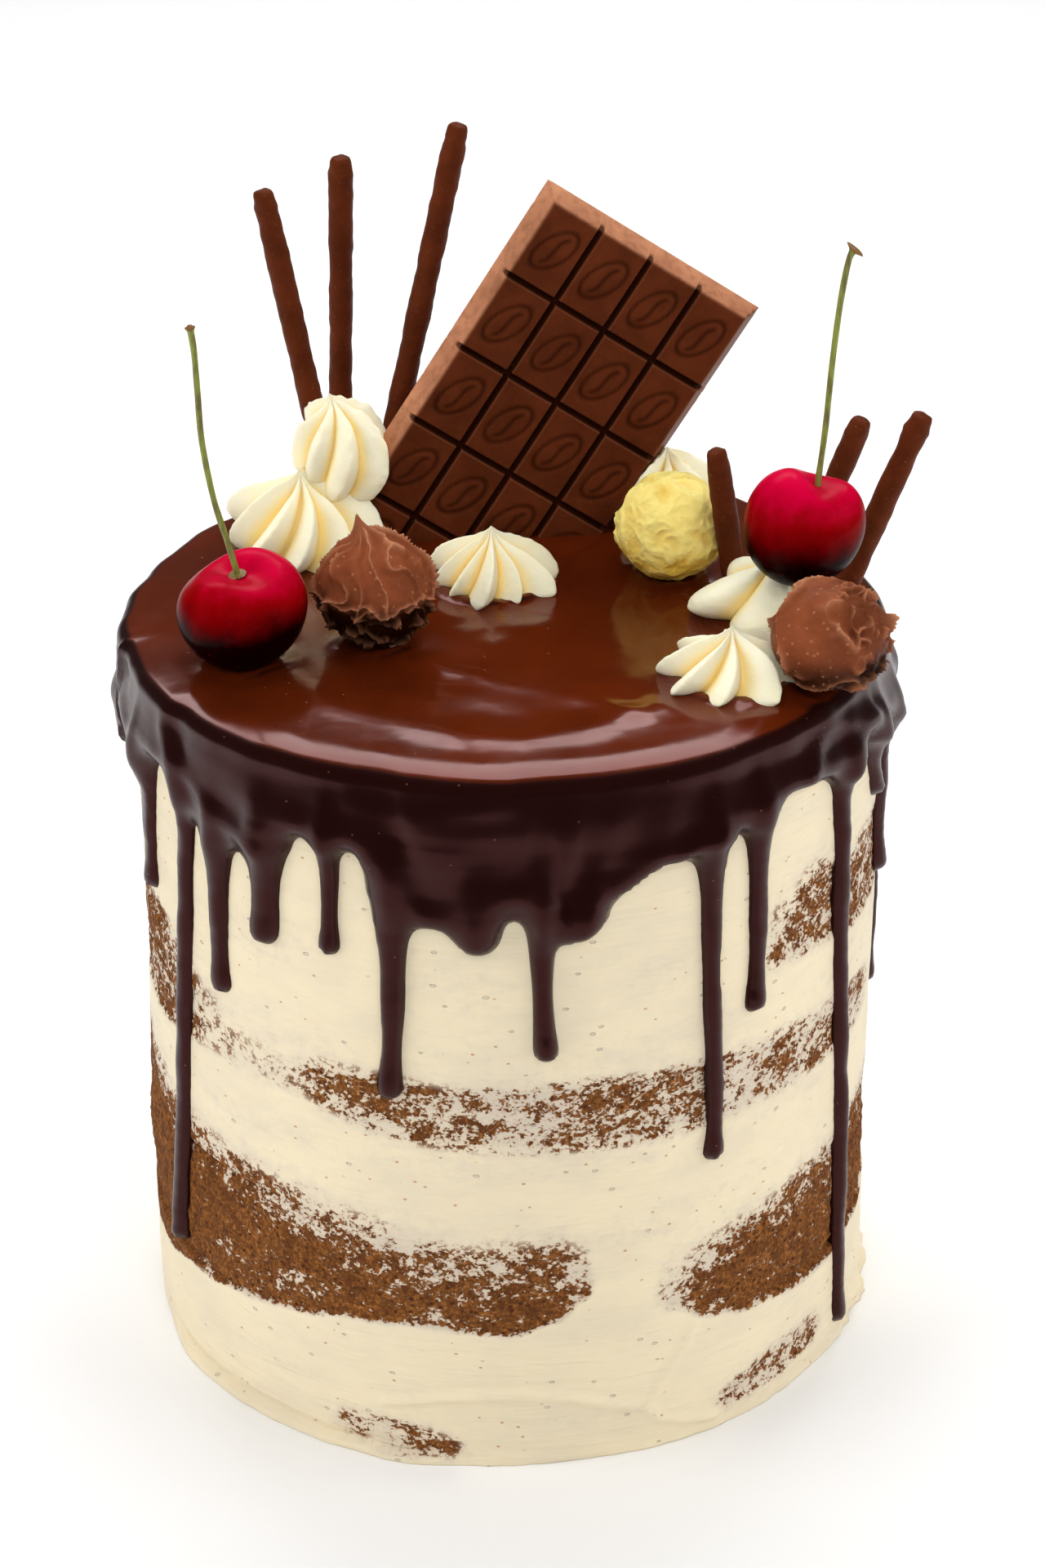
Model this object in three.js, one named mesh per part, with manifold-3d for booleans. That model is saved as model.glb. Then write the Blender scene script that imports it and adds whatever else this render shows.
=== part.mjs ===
// A tall round layer cake with a scraped cream coat and a chocolate glaze that drips down its side.
// It is topped with piped cream rosettes, two cherries, three truffles, six chocolate sticks and a bar.
// Millimetres, +Z up. The origin is the centre of the flat underside.
// Angles round the cake are in degrees: 0 is the front (-Y) and they grow towards +X.
import * as THREE from "three";
import { mergeVertices } from "three/addons/utils/BufferGeometryUtils.js";
import Module from "manifold-3d";

const wasm = await Module();
wasm.setup();

// Driving dimensions
const cakeRadius = 75;
const creamTopHeight = 150.5;
const glazeTopHeight = 154;
const coatThickness = 1.5;
const coatLift = 0.8;
const clearance = 0.3;
const cakeSides = 48;

// Heights of the sponge and cream layers, from the bottom up
const layers = [
  ["sponge_1", 0, 19],
  ["filling_1", 19, 25],
  ["sponge_2", 25, 55],
  ["filling_2", 55, 68],
  ["sponge_3", 68, 92],
  ["filling_3", 92, 97],
  ["sponge_4", 97, 136],
  ["cream_top", 136, creamTopHeight],
];

// Patches where the coat is scraped away down to the sponge:
// angle from, angle to, and the lower and upper edge at each end
const barePatches = [
  { from: 34, to: 62, low: [5, 4], high: [10, 12] },
  { from: -97, to: 13, low: [26, 33], high: [53, 48] },
  { from: 23, to: 88, low: [33, 27], high: [41, 50] },
  { from: 122, to: 190, low: [29, 31], high: [46, 50] },
  { from: 216, to: 250, low: [31, 30], high: [44, 48] },
  { from: -93, to: -57, low: [76, 77], high: [90, 91] },
  { from: -32, to: 62, low: [76, 75], high: [86, 84] },
  { from: 100, to: 152, low: [75, 77], high: [86, 88] },
  { from: 186, to: 232, low: [77, 75], high: [88, 86] },
  { from: 43, to: 78, low: [101, 99], high: [112, 116] },
];
const patchStep = 8.3;

// Glaze
const glazeGap = 0.45;
const glazeThickness = 1.7;
const glazeInset = 4.5;
const glazeEdgeHeight = 137;
const glazeEdgeWave = 2.2;
const frontSag = 11;
const frontSagAngle = -3;
const frontSagWidth = 17;
const funnelWidth = 3.4;
const columnGap = 6;
const columnShift = 0.3;
// Each drip: angle of its root and of its tip, height of its tip, width,
// and how far its funnel pulls the edge of the glaze down
const seenDrips = [
  { angle: -68, tipAngle: -70, tip: 105, width: 4.4, pull: 10 },
  { angle: -54.5, tipAngle: -63, tip: 27.5, width: 3.8, pull: 5 },
  { angle: -46.7, tipAngle: -48.1, tip: 95.5, width: 4.8, pull: 10 },
  { angle: -37, tipAngle: -38.3, tip: 111, width: 5.4, pull: 12 },
  { angle: -26.2, tipAngle: -26.4, tip: 113, width: 3.9, pull: 4 },
  { angle: -16.6, tipAngle: -17.4, tip: 84, width: 4.6, pull: 12 },
  { angle: -4.6, tipAngle: -4.6, tip: 116.8, width: 6.1, pull: 10 },
  { angle: 4.8, tipAngle: 5.3, tip: 93.8, width: 4.4, pull: 6 },
  { angle: 11, tipAngle: 10.5, tip: 119.8, width: 5.6, pull: 6 },
  { angle: 30.2, tipAngle: 31.9, tip: 64.8, width: 4, pull: 10 },
  { angle: 38.6, tipAngle: 39.3, tip: 94.9, width: 4, pull: 8 },
  { angle: 58.3, tipAngle: 65, tip: 4, width: 3.6, pull: 8 },
  { angle: 69.6, tipAngle: 74.4, tip: 121.7, width: 4.6, pull: 7 },
  { angle: 80, tipAngle: 84, tip: 98.1, width: 4.4, pull: 12 },
];
const hiddenDrips = 12;
const hiddenFrom = 97;
const hiddenTo = 279;

// Chocolate bar: four columns of moulded pieces, pushed into the cream at a slant
const barColumns = 4;
const barRows = 6;
const barColumnPitch = 11.8;
const barRowPitch = 17.7;
const barBase = 3.6;
const barPiece = 1.9;
const barRim = 1.1;
const barGroove = 1.5;
const barFaceCorner = new THREE.Vector3(10.2, 38.3, 225.1);
const barSlant = 33.4;
const barLeanBack = -3.7;
const barSwing = 5.1;
const barDepth = 12;

// Sticks: where each one enters the glaze, and its tip
const stickRadius = 2.35;
const stickDepth = 8;
const sticks = [
  { foot: [-35.1, 47, 154], tip: [-47.9, 44, 224.9] },
  { foot: [-34.6, 55, 154], tip: [-32.7, 56, 227.9] },
  { foot: [-26.7, 50, 154], tip: [-8.8, 52, 235.8] },
  { foot: [46.2, 7, 154], tip: [41.6, 6, 184] },
  { foot: [60, 20, 154], tip: [71.6, 23, 183.6] },
  { foot: [66.5, 2, 154], tip: [81.3, 2, 192.8] },
];

// Cherries: lean is to the front and to the right in degrees, seam the direction of the fold in the flesh
const cherries = [
  { name: "cherry_left", centre: [-50.3, -24, 165.1], radius: 12.9, height: 22.6, lean: [9, -5], seam: 60 },
  { name: "cherry_right", centre: [57.6, -12.6, 176.4], radius: 11.7, height: 24.2, lean: [4, 17], seam: 5 },
];
const dimpleDepth = 3.4;
const seamDepth = 1.6;
// Points that each stem follows, from the dimple up
const stems = [
  {
    name: "cherry_left_stem",
    points: [[-51.3, -25.4, 174.2], [-52.7, -25.2, 179.8], [-54.9, -25, 188.2], [-56.6, -25, 199.8],
      [-57, -25, 210], [-57.3, -25, 217.7], [-57.9, -25, 222.8]],
    radius: 0.75,
    knob: 1.1,
  },
  {
    name: "cherry_right_stem",
    points: [[60.2, -12.6, 186.4], [61.3, -11.6, 196.1], [62.3, -10.8, 209.4], [63.5, -10, 220.9],
      [64.8, -10, 229.2], [66, -10, 231.6]],
    radius: 0.75,
    knob: 1.9,
  },
];

const truffles = [
  { name: "truffle_left", centre: [-25.2, -16.6, 165.2], radius: 12.2, seed: 1.3, crag: 0.085 },
  { name: "truffle_right", centre: [60.8, -38, 164.6], radius: 12.1, seed: 4.1, crag: 0.08 },
  { name: "truffle_white", centre: [33.2, 15, 164.2], radius: 11.4, seed: 7.7, crag: 0.05 },
];

// Piped rosettes: middle of the foot, radius, height, number of ridges, twist in degrees,
// and how far the peak stands to the right of the foot
const rosettes = [
  { name: "peak", foot: [-32, 35.5, 166], radius: 11.4, height: 20, ridges: 7, twist: 58, lean: -4.5 },
  { name: "large", foot: [-40.6, 28.5, 154], radius: 18.4, height: 17.6, ridges: 9, twist: 38, lean: -1 },
  { name: "middle", foot: [-2.7, 11.4, 154], radius: 13.8, height: 13, ridges: 10, twist: 26, lean: 0 },
  { name: "front", foot: [42.9, -33.8, 154], radius: 14.2, height: 12, ridges: 9, twist: 24, lean: 0 },
  { name: "seat", foot: [52.4, -4, 154], radius: 15, height: 13.6, ridges: 8, twist: 30, lean: 0 },
  { name: "back", foot: [33.5, 41, 154], radius: 11.5, height: 17, ridges: 8, twist: 28, lean: 0 },
];
const ridgeColumns = 3;

// Materials
const finish = (color, roughness) => new THREE.MeshStandardMaterial({ color, roughness, metalness: 0 });
const spongeFinish = finish(0x6b4426, 0.95);
const creamFinish = finish(0xf0e6c8, 0.55);
const glazeFinish = finish(0x3a1c16, 0.2);
const milkFinish = finish(0x6b3a24, 0.45);
const whiteFinish = finish(0xf1e2a4, 0.5);
const cherryFinish = finish(0xa50d22, 0.15);
const stemFinish = finish(0x7f8f34, 0.55);

const radians = THREE.MathUtils.degToRad;
const mix = THREE.MathUtils.lerp;
const smooth = (value) => THREE.MathUtils.smoothstep(value, 0, 1);
const bell = (distance, width) => Math.exp(-((distance / width) ** 2));
// The smallest difference of two angles in degrees
const apart = (a, b) => THREE.MathUtils.euclideanModulo(a - b + 180, 360) - 180;
// A repeatable number from 0 to 1 for each index
function draw(index, salt) {
  return THREE.MathUtils.euclideanModulo(Math.sin(index * 12.99 + salt * 78.23) * 43758.5, 1);
}

// A closed surface of rings about the Z axis. turns holds the angles of its columns in radians.
// place(angle, row) gives a point; the first and the last row lie on the axis.
function revolve(rows, turns, place) {
  const blank = Array.from({ length: rows }, (_, row) => new THREE.Vector2(1, row));
  const geometry = new THREE.LatheGeometry(blank, turns.length);
  const position = geometry.getAttribute("position");
  for (let index = 0; index < position.count; index++) {
    const angle = turns[Math.floor(index / rows) % turns.length];
    position.setXYZ(index, ...place(angle, index % rows));
  }
  return geometry;
}

const evenTurns = (sides) => Array.from({ length: sides }, (_, side) => (side / sides) * 2 * Math.PI);
const around = (angle, radius, height) => [radius * Math.sin(angle), -radius * Math.cos(angle), height];

// A plain turned solid from a profile of [radius, height] points
const turned = (profile, sides) =>
  revolve(profile.length, evenTurns(sides), (angle, row) => around(angle, ...profile[row]));

// The closed mesh of a geometry, as a solid for joining and cutting
function solid(geometry, matrix = new THREE.Matrix4()) {
  const bare = new THREE.BufferGeometry();
  bare.setAttribute("position", geometry.getAttribute("position").clone());
  bare.setIndex(geometry.index ? geometry.index.clone() : null);
  bare.applyMatrix4(matrix);
  const merged = mergeVertices(bare, 1e-3);
  const index = merged.index.array;
  const triVerts = [];
  for (let i = 0; i < index.length; i += 3) {
    const [a, b, c] = [index[i], index[i + 1], index[i + 2]];
    if (a !== b && b !== c && c !== a) triVerts.push(a, b, c);
  }
  return new wasm.Manifold(new wasm.Mesh({
    numProp: 3,
    vertProperties: new Float32Array(merged.getAttribute("position").array),
    triVerts: new Uint32Array(triVerts),
  }));
}

function asGeometry(shape) {
  const mesh = shape.getMesh();
  const geometry = new THREE.BufferGeometry();
  geometry.setAttribute("position", new THREE.BufferAttribute(mesh.vertProperties, 3));
  geometry.setIndex(new THREE.BufferAttribute(mesh.triVerts, 1));
  geometry.computeVertexNormals();
  return geometry;
}

function biggest(shape) {
  return shape.decompose().reduce((best, piece) => (piece.volume() > best.volume() ? piece : best));
}

const cake = new THREE.Group();

// Adds a node whose shape is a solid in the piece's own frame
function addPiece(name, shape, material, position = [0, 0, 0], rotation = new THREE.Euler()) {
  const mesh = new THREE.Mesh(asGeometry(shape), material);
  mesh.name = name;
  mesh.position.fromArray(position);
  mesh.rotation.copy(rotation);
  cake.add(mesh);
}

// The matrix of a piece that stands at a point with a turn
function standing(position, rotation = new THREE.Euler()) {
  const turn = new THREE.Quaternion().setFromEuler(rotation);
  return new THREE.Matrix4().compose(new THREE.Vector3(...position), turn, new THREE.Vector3(1, 1, 1));
}

// Layers
function makeLayer(low, high) {
  const radius = cakeRadius - coatThickness - clearance;
  return solid(turned([[0, low], [radius, low], [radius, high], [0, high]], cakeSides));
}

// A cutter for one bare patch: a bent bar through the coat, narrower at its ends
function makePatchCutter({ from, to, low, high }) {
  const cutter = new THREE.BoxGeometry(1, 1, 1, Math.round((to - from) / patchStep), 1, 1);
  const position = cutter.getAttribute("position");
  for (let index = 0; index < position.count; index++) {
    const along = position.getX(index) + 0.5;
    const upper = Math.sign(position.getZ(index));
    const reach = Math.sign(position.getY(index)) * 2 * coatThickness;
    const angle = mix(from, to, along);
    const middle = mix((low[0] + high[0]) / 2, (low[1] + high[1]) / 2, along);
    const half = mix(high[0] - low[0], high[1] - low[1], along) / 2;
    const taper = 0.25 + 0.75 * smooth(Math.min(along, 1 - along) * 6);
    const ragged = 0.12 * Math.sin(angle * 0.9 + upper) + 0.1 * Math.sin(angle * 0.37);
    const height = middle + upper * half * taper * (1 + ragged);
    position.setXYZ(index, ...around(radians(angle), cakeRadius - reach, height));
  }
  return solid(cutter);
}

function makeCoat() {
  const inner = cakeRadius - coatThickness;
  const outline = [[0, coatLift], [cakeRadius, coatLift], [cakeRadius, creamTopHeight], [0, creamTopHeight]];
  const hollow = [[0, -1], [inner, -1], [inner, creamTopHeight + 1], [0, creamTopHeight + 1]];
  const shell = solid(turned(outline, cakeSides)).subtract(solid(turned(hollow, cakeSides)));
  return shell.subtract(wasm.Manifold.union(barePatches.map(makePatchCutter)));
}

// Glaze
function allDrips() {
  const spacing = (hiddenTo - hiddenFrom) / (hiddenDrips - 1);
  const hidden = Array.from({ length: hiddenDrips }, (_, i) => {
    const angle = hiddenFrom + i * spacing + (draw(i, 1) - 0.5) * spacing * 0.45;
    return {
      angle,
      tipAngle: angle + (draw(i, 5) - 0.5) * 4,
      tip: mix(124, 46, draw(i, 2) ** 1.7),
      width: mix(3.8, 5.6, draw(i, 3)),
      pull: mix(5, 12, draw(i, 4)),
    };
  });
  return [...seenDrips, ...hidden];
}

const drips = allDrips();

// Height of the glaze's lower edge at an angle in degrees
function glazeEdge(degrees) {
  const wave = Math.sin(radians(degrees) * 2 + 0.6) + 0.5 * Math.sin(radians(degrees) * 5 + 2);
  const sag = frontSag * bell(apart(degrees, frontSagAngle), frontSagWidth);
  const pulls = drips.map((drip) => drip.pull * bell(apart(degrees, drip.angle), funnelWidth));
  return glazeEdgeHeight + glazeEdgeWave * wave - sag - Math.max(...pulls);
}

// Columns of the glaze in degrees: at the root and the sides of each drip, and evenly between drips
function glazeColumns() {
  const columns = [];
  drips.forEach((drip, i) => {
    const next = drips[(i + 1) % drips.length].angle + (i + 1 === drips.length ? 360 : 0);
    const gap = next - drip.angle;
    const side = Math.min(funnelWidth * 0.75, gap / 3);
    const between = gap - 2 * side;
    const steps = Math.max(1, Math.round(between / columnGap));
    columns.push(drip.angle + columnShift);
    for (let step = 0; step <= steps; step++) columns.push(drip.angle + side + (between * step) / steps);
  });
  return columns;
}

// The cap over the top and the skirt down the side, as one shell
function makeGlazeSkirt() {
  const inner = cakeRadius + glazeGap;
  return revolve(11, glazeColumns().map(radians), (angle, row) => {
    const edge = glazeEdge(THREE.MathUtils.radToDeg(angle));
    const thickness = glazeThickness + 0.35 * Math.sin(angle * 3 + 1) + 0.3 * Math.sin(angle * 7);
    const profile = [
      [0, creamTopHeight + clearance],
      [inner, creamTopHeight + clearance],
      [inner, edge],
      [inner + 0.6 * thickness, edge + 0.4],
      [inner + thickness, edge + 3],
      [inner + 0.8 * thickness, mix(edge, glazeTopHeight, 0.55)],
      [inner + 0.8 * thickness, glazeTopHeight - 4.5],
      [inner - 0.3, glazeTopHeight - 1.3],
      [inner - 0.5 * glazeInset, glazeTopHeight - 0.25],
      [inner - glazeInset, glazeTopHeight],
      [0, glazeTopHeight],
    ];
    return around(angle, ...profile[row]);
  });
}

// One drip: a flat-backed bead on the wall with a wide root and a round tip.
// Each row is a height above the tip, a half width and how far the bead stands off the wall.
function makeDrip({ angle, tipAngle, tip, width }) {
  const half = width / 2;
  const length = glazeEdge(angle) + 6 - tip;
  const neck = Math.max(half * 1.2 + 0.5, Math.min(half * 4.5, length * 0.5));
  const root = Math.max(neck + 0.5, length - 7);
  const rows = [
    [0, 0, 0],
    [0.35 * half, 0.75, 0.6],
    [half * 1.2, 1.12, 1],
    [neck, 0.86, 0.8],
    [root, 0.95, 0.75],
    [length, 1.4, 0.35],
    [length, 0, 0],
  ];
  const turns = [0, 50, 90, 180, 270, 310].map(radians);
  return solid(revolve(rows.length, turns, (turn, row) => {
    const [rise, wide, proud] = rows[row];
    const middle = radians(mix(tipAngle, angle, rise / length));
    const sideways = half * wide * Math.sin(turn);
    const outwards = width * 0.62 * proud * Math.max(0, Math.cos(turn));
    const reach = cakeRadius + glazeGap + 0.1 + outwards;
    return around(middle + sideways / cakeRadius, reach, tip + rise);
  }));
}

const makeGlaze = () => solid(makeGlazeSkirt()).add(wasm.Manifold.union(drips.map(makeDrip)));

// Chocolate bar in its own frame: x along its width, z up its length, y through it.
// Its face, towards -y, has the top left corner of its pieces at the origin.
function makeBarBlock(grow = 0) {
  const width = barColumns * barColumnPitch;
  const length = barRows * barRowPitch;
  const rim = 2 * (barRim + grow);
  const base = new THREE.BoxGeometry(width + rim, barBase + 2 * grow, length + rim);
  base.translate(width / 2, barPiece + barBase / 2, -length / 2);
  return solid(base);
}

// One moulded piece: its sides slope in towards its face
function makeBarPiece(column, row) {
  const piece = new THREE.BoxGeometry(1, barPiece + 0.2, 1);
  const position = piece.getAttribute("position");
  for (let index = 0; index < position.count; index++) {
    const draft = barGroove * (position.getY(index) < 0 ? 0.5 : 0.15);
    position.setX(index, position.getX(index) * (barColumnPitch - 2 * draft));
    position.setZ(index, position.getZ(index) * (barRowPitch - 2 * draft));
  }
  piece.translate((column + 0.5) * barColumnPitch, barPiece / 2 + 0.1, -(row + 0.5) * barRowPitch);
  return solid(piece);
}

function makeBar() {
  let bar = makeBarBlock();
  for (let column = 0; column < barColumns; column++) {
    for (let row = 0; row < barRows; row++) bar = bar.add(makeBarPiece(column, row));
  }
  return bar;
}

// The space that the bar takes, with the clearance round it
function makeBarHollow() {
  const width = barColumns * barColumnPitch + 2 * clearance;
  const length = barRows * barRowPitch + 2 * clearance;
  const face = new THREE.BoxGeometry(width, barPiece + 2 * clearance, length);
  face.translate(width / 2 - clearance, barPiece / 2, clearance - length / 2);
  return makeBarBlock(clearance).add(solid(face));
}

// A wide block under a depth below the glaze, to end the buried part of the bar level
function makeBlockBelow(depth) {
  const size = 4 * cakeRadius;
  const block = new THREE.BoxGeometry(size, size, size);
  block.translate(0, 0, glazeTopHeight - depth - size / 2);
  return solid(block);
}

// Stick along z from its buried foot to its pinched tip
function makeStick(length, grow = 0) {
  const radius = stickRadius + grow;
  return solid(turned([
    [0, -grow],
    [radius, -grow],
    [radius, length - 3.4],
    [radius * 0.76, length - 1],
    [radius * 0.55, length + grow],
    [0, length + grow],
  ], 10));
}

// Position, turn and length of a stick whose foot is pushed in below the glaze
function stickPlace({ foot, tip }) {
  const top = new THREE.Vector3(...tip);
  const direction = top.clone().sub(new THREE.Vector3(...foot)).normalize();
  const start = new THREE.Vector3(...foot).addScaledVector(direction, -stickDepth / direction.z);
  const turn = new THREE.Quaternion().setFromUnitVectors(new THREE.Vector3(0, 0, 1), direction);
  return {
    position: start.toArray(),
    rotation: new THREE.Euler().setFromQuaternion(turn),
    length: top.distanceTo(start),
  };
}

// A cherry about its middle. It is flat where it rests, at the height floor.
function makeCherry({ radius, height, lean, seam, centre }, grow = 0) {
  const rows = 13;
  const turn = new THREE.Euler(radians(lean[0]), radians(lean[1]), 0);
  const floor = glazeTopHeight - centre[2];
  return revolve(rows, evenTurns(16), (angle, row) => {
    const polar = (Math.PI * row) / (rows - 1);
    const fold = Math.cos(angle - radians(seam)) ** 2;
    const shoulder = 0.93 + 0.07 * smooth(row / (rows - 1));
    const ring = (radius + grow) * Math.sin(polar) ** 0.9 * shoulder * (1.04 - 0.08 * fold);
    const crease = seamDepth * fold * smooth(ring / radius / 0.5) * smooth((1 - ring / radius) / 0.3);
    const dip = polar > Math.PI / 2 ? dimpleDepth * bell(ring, radius * 0.4) + crease : 0;
    const point = new THREE.Vector3(...around(angle, ring, -(height / 2 + grow) * Math.cos(polar) - dip));
    point.applyEuler(turn);
    return [point.x, point.y, Math.max(point.z, floor)];
  });
}

function makeStem({ points, radius, knob }) {
  const path = new THREE.CatmullRomCurve3(points.map((point) => new THREE.Vector3(...point)));
  const ring = new THREE.Shape();
  ring.absarc(0, 0, radius, 0, 2 * Math.PI);
  const tube = new THREE.ExtrudeGeometry(ring, { extrudePath: path, steps: 12, curveSegments: 3 });
  const end = new THREE.IcosahedronGeometry(knob, 0);
  end.scale(1, 1, 0.8);
  end.translate(...points[points.length - 1]);
  return solid(tube).add(solid(end));
}

// Ridges that fingers leave on a truffle while its coat is soft, from 0 to 1
function truffleRidge(angle, polar, seed) {
  const first = Math.abs(Math.sin(2.5 * Math.sin(angle + seed) + 3 * polar + seed));
  const second = Math.abs(Math.sin(2 * Math.cos(angle * 2 - seed) - 4 * polar + 2 * seed));
  return 1 - Math.min(first, second) ** 0.6;
}

// A truffle about its middle, flat where it rests
function makeTruffle({ radius, seed, crag, centre }, grow = 0) {
  const rows = 12;
  const floor = glazeTopHeight - centre[2];
  return revolve(rows, evenTurns(18), (angle, row) => {
    const polar = (Math.PI * row) / (rows - 1);
    const reach = radius * (1 + crag * (truffleRidge(angle, polar, seed) - 0.35) * Math.sin(polar)) + grow;
    return around(angle, reach * Math.sin(polar), Math.max(-reach * Math.cos(polar) * 0.97, floor));
  });
}

// Rows of a rosette: width, height, how deep the grooves are
const rosetteRows = [
  [0, 0, 0],
  [0.78, 0, 0.6],
  [1, 0.06, 1],
  [0.96, 0.2, 1],
  [0.84, 0.42, 0.9],
  [0.64, 0.63, 0.8],
  [0.38, 0.8, 0.65],
  [0.15, 0.93, 0.4],
  [0, 1, 0],
];

// A rosette piped with a star nozzle: sharp ridges that wind up to a peak
function makeRosette({ radius, height, ridges, twist, lean }, grow = 0) {
  const turns = evenTurns(ridges * ridgeColumns);
  return revolve(rosetteRows.length, turns, (angle, row) => {
    const [wide, high, depth] = rosetteRows[row];
    const ridge = 1 - Math.abs(Math.sin((angle * ridges) / 2)) ** 0.8;
    const petal = Math.round((angle * ridges) / (2 * Math.PI)) % ridges;
    const uneven = 1 + 0.12 * (draw(petal, radius) - 0.5);
    const ring = wide * (radius * uneven + grow) * (1 - 0.3 * depth * (1 - ridge));
    const drop = 0.12 * (1 - ridge) * (1 - high);
    const [x, y, z] = around(angle + radians(twist) * high, ring, high * (height + grow) * (1 - drop));
    return [x + lean * high ** 2, y, high === 0 ? -grow : z];
  });
}

// Hard pieces come first: each leaves a slightly larger hollow in the soft ones that it touches
const pushedIn = [];
const resting = [];

const barTurn = new THREE.Euler(radians(barLeanBack), radians(barSlant), radians(barSwing), "ZXY");
const barPlace = standing(barFaceCorner.toArray(), barTurn);
const inBarFrame = solid(asGeometry(makeBlockBelow(barDepth)), barPlace.clone().invert());
addPiece("chocolate_bar", makeBar().subtract(inBarFrame), milkFinish, barFaceCorner.toArray(), barTurn);
pushedIn.push(solid(asGeometry(makeBarHollow()), barPlace).subtract(makeBlockBelow(barDepth + clearance)));

sticks.forEach((stick, index) => {
  const { position, rotation, length } = stickPlace(stick);
  addPiece(`stick_${index + 1}`, makeStick(length), milkFinish, position, rotation);
  pushedIn.push(solid(asGeometry(makeStick(length, clearance)), standing(position, rotation)));
});

cherries.forEach((cherry) => {
  addPiece(cherry.name, solid(makeCherry(cherry)), cherryFinish, cherry.centre);
  resting.push(solid(makeCherry(cherry, clearance), standing(cherry.centre)));
});

truffles.forEach((truffle) => {
  const material = truffle.name === "truffle_white" ? whiteFinish : milkFinish;
  addPiece(truffle.name, solid(makeTruffle(truffle)), material, truffle.centre);
  resting.push(solid(makeTruffle(truffle, clearance), standing(truffle.centre)));
});

// A stem stands in the dimple of its cherry, clear of the flesh
stems.forEach((stem, index) => {
  addPiece(stem.name, biggest(makeStem(stem).subtract(resting[index])), stemFinish);
});

const cutBy = (shape, hollows) => hollows.reduce((rest, hollow) => rest.subtract(hollow), shape);

// Soft pieces: each rosette gives way to the hard pieces and to the rosettes before it
const piped = [];
rosettes.forEach((rosette) => {
  const place = standing(rosette.foot);
  const shape = cutBy(solid(makeRosette(rosette), place), [...pushedIn, ...resting, ...piped]);
  addPiece(`rosette_${rosette.name}`, biggest(shape), creamFinish);
  piped.push(solid(makeRosette(rosette, 2 * clearance), place));
});

layers.forEach(([name, low, high]) => {
  const layer = makeLayer(low, high);
  const isTop = high === creamTopHeight;
  const material = name.startsWith("sponge") ? spongeFinish : creamFinish;
  addPiece(name, isTop ? cutBy(layer, pushedIn) : layer, material);
});
addPiece("cream_coat", makeCoat(), creamFinish);
addPiece("glaze", biggest(cutBy(makeGlaze(), pushedIn)), glazeFinish);

export default cake;
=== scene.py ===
"""A tall layer cake with a scraped cream coat and a chocolate glaze that runs down its side.

Piped cream, cherries, truffles, chocolate sticks and a chocolate bar stand on top.
Shapes are worked out in millimetres and scaled to metres when a piece is finished.
Angles round the cake are in degrees: 0 is the front (-Y) and they grow towards +X.
"""
import math
from functools import cache, cached_property

import bmesh
import bpy
import numpy as np
from bpy.props import FloatProperty, FloatVectorProperty, PointerProperty
from mathutils import Matrix, Quaternion, Vector, noise


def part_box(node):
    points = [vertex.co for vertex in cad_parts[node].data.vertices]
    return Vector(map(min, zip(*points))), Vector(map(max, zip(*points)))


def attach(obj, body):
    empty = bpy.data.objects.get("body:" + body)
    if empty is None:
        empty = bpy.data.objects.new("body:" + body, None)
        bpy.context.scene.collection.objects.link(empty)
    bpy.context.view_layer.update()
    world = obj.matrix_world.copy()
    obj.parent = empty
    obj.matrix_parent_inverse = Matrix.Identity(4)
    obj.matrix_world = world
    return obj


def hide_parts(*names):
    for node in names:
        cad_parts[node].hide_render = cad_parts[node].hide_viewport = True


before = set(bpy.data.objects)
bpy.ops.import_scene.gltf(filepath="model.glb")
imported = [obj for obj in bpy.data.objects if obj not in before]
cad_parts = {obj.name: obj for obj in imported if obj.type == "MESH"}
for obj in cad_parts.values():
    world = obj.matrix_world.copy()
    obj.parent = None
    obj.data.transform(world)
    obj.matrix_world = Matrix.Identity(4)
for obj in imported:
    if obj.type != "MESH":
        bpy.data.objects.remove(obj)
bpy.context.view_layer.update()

bl_info = {
    "name": "Drip cake",
    "version": (1, 0, 0),
    "blender": (4, 5, 0),
    "location": "3D View > Sidebar > Cake",
    "description": "Builds a glazed layer cake with its toppings",
    "category": "Add Mesh",
}

MM = 0.001

# Coat and sponge, with the coat's radius and the heights of the layers taken from the frame
COAT_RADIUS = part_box("cream_coat")[1][0] / MM
SPONGES = ["sponge_1", "sponge_2", "sponge_3", "sponge_4"]
SPONGE_SPANS = [tuple(corner[2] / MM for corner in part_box(name)) for name in SPONGES]
CREAM_LAYERS = ["filling_1", "filling_2", "filling_3", "cream_top"]
COAT_THICKNESS = 1.6
COAT_BOTTOM = 0.1
COAT_TOP = 150.4
COAT_COLUMNS = 480
COAT_ROWS = 150
# Rows crowd towards the foot, and even closer ones lie below this height
COAT_CROWDING = 1.25
FOOT_HEIGHT = 3.0
FOOT_ROW = 0.3
SPONGE_RADIUS = COAT_RADIUS - 0.55
SPONGE_ROW = 1.0
SPONGE_ROUNDING = 1.2
BARE_DIP = 1.5
BARE_STEP = 0.25

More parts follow.
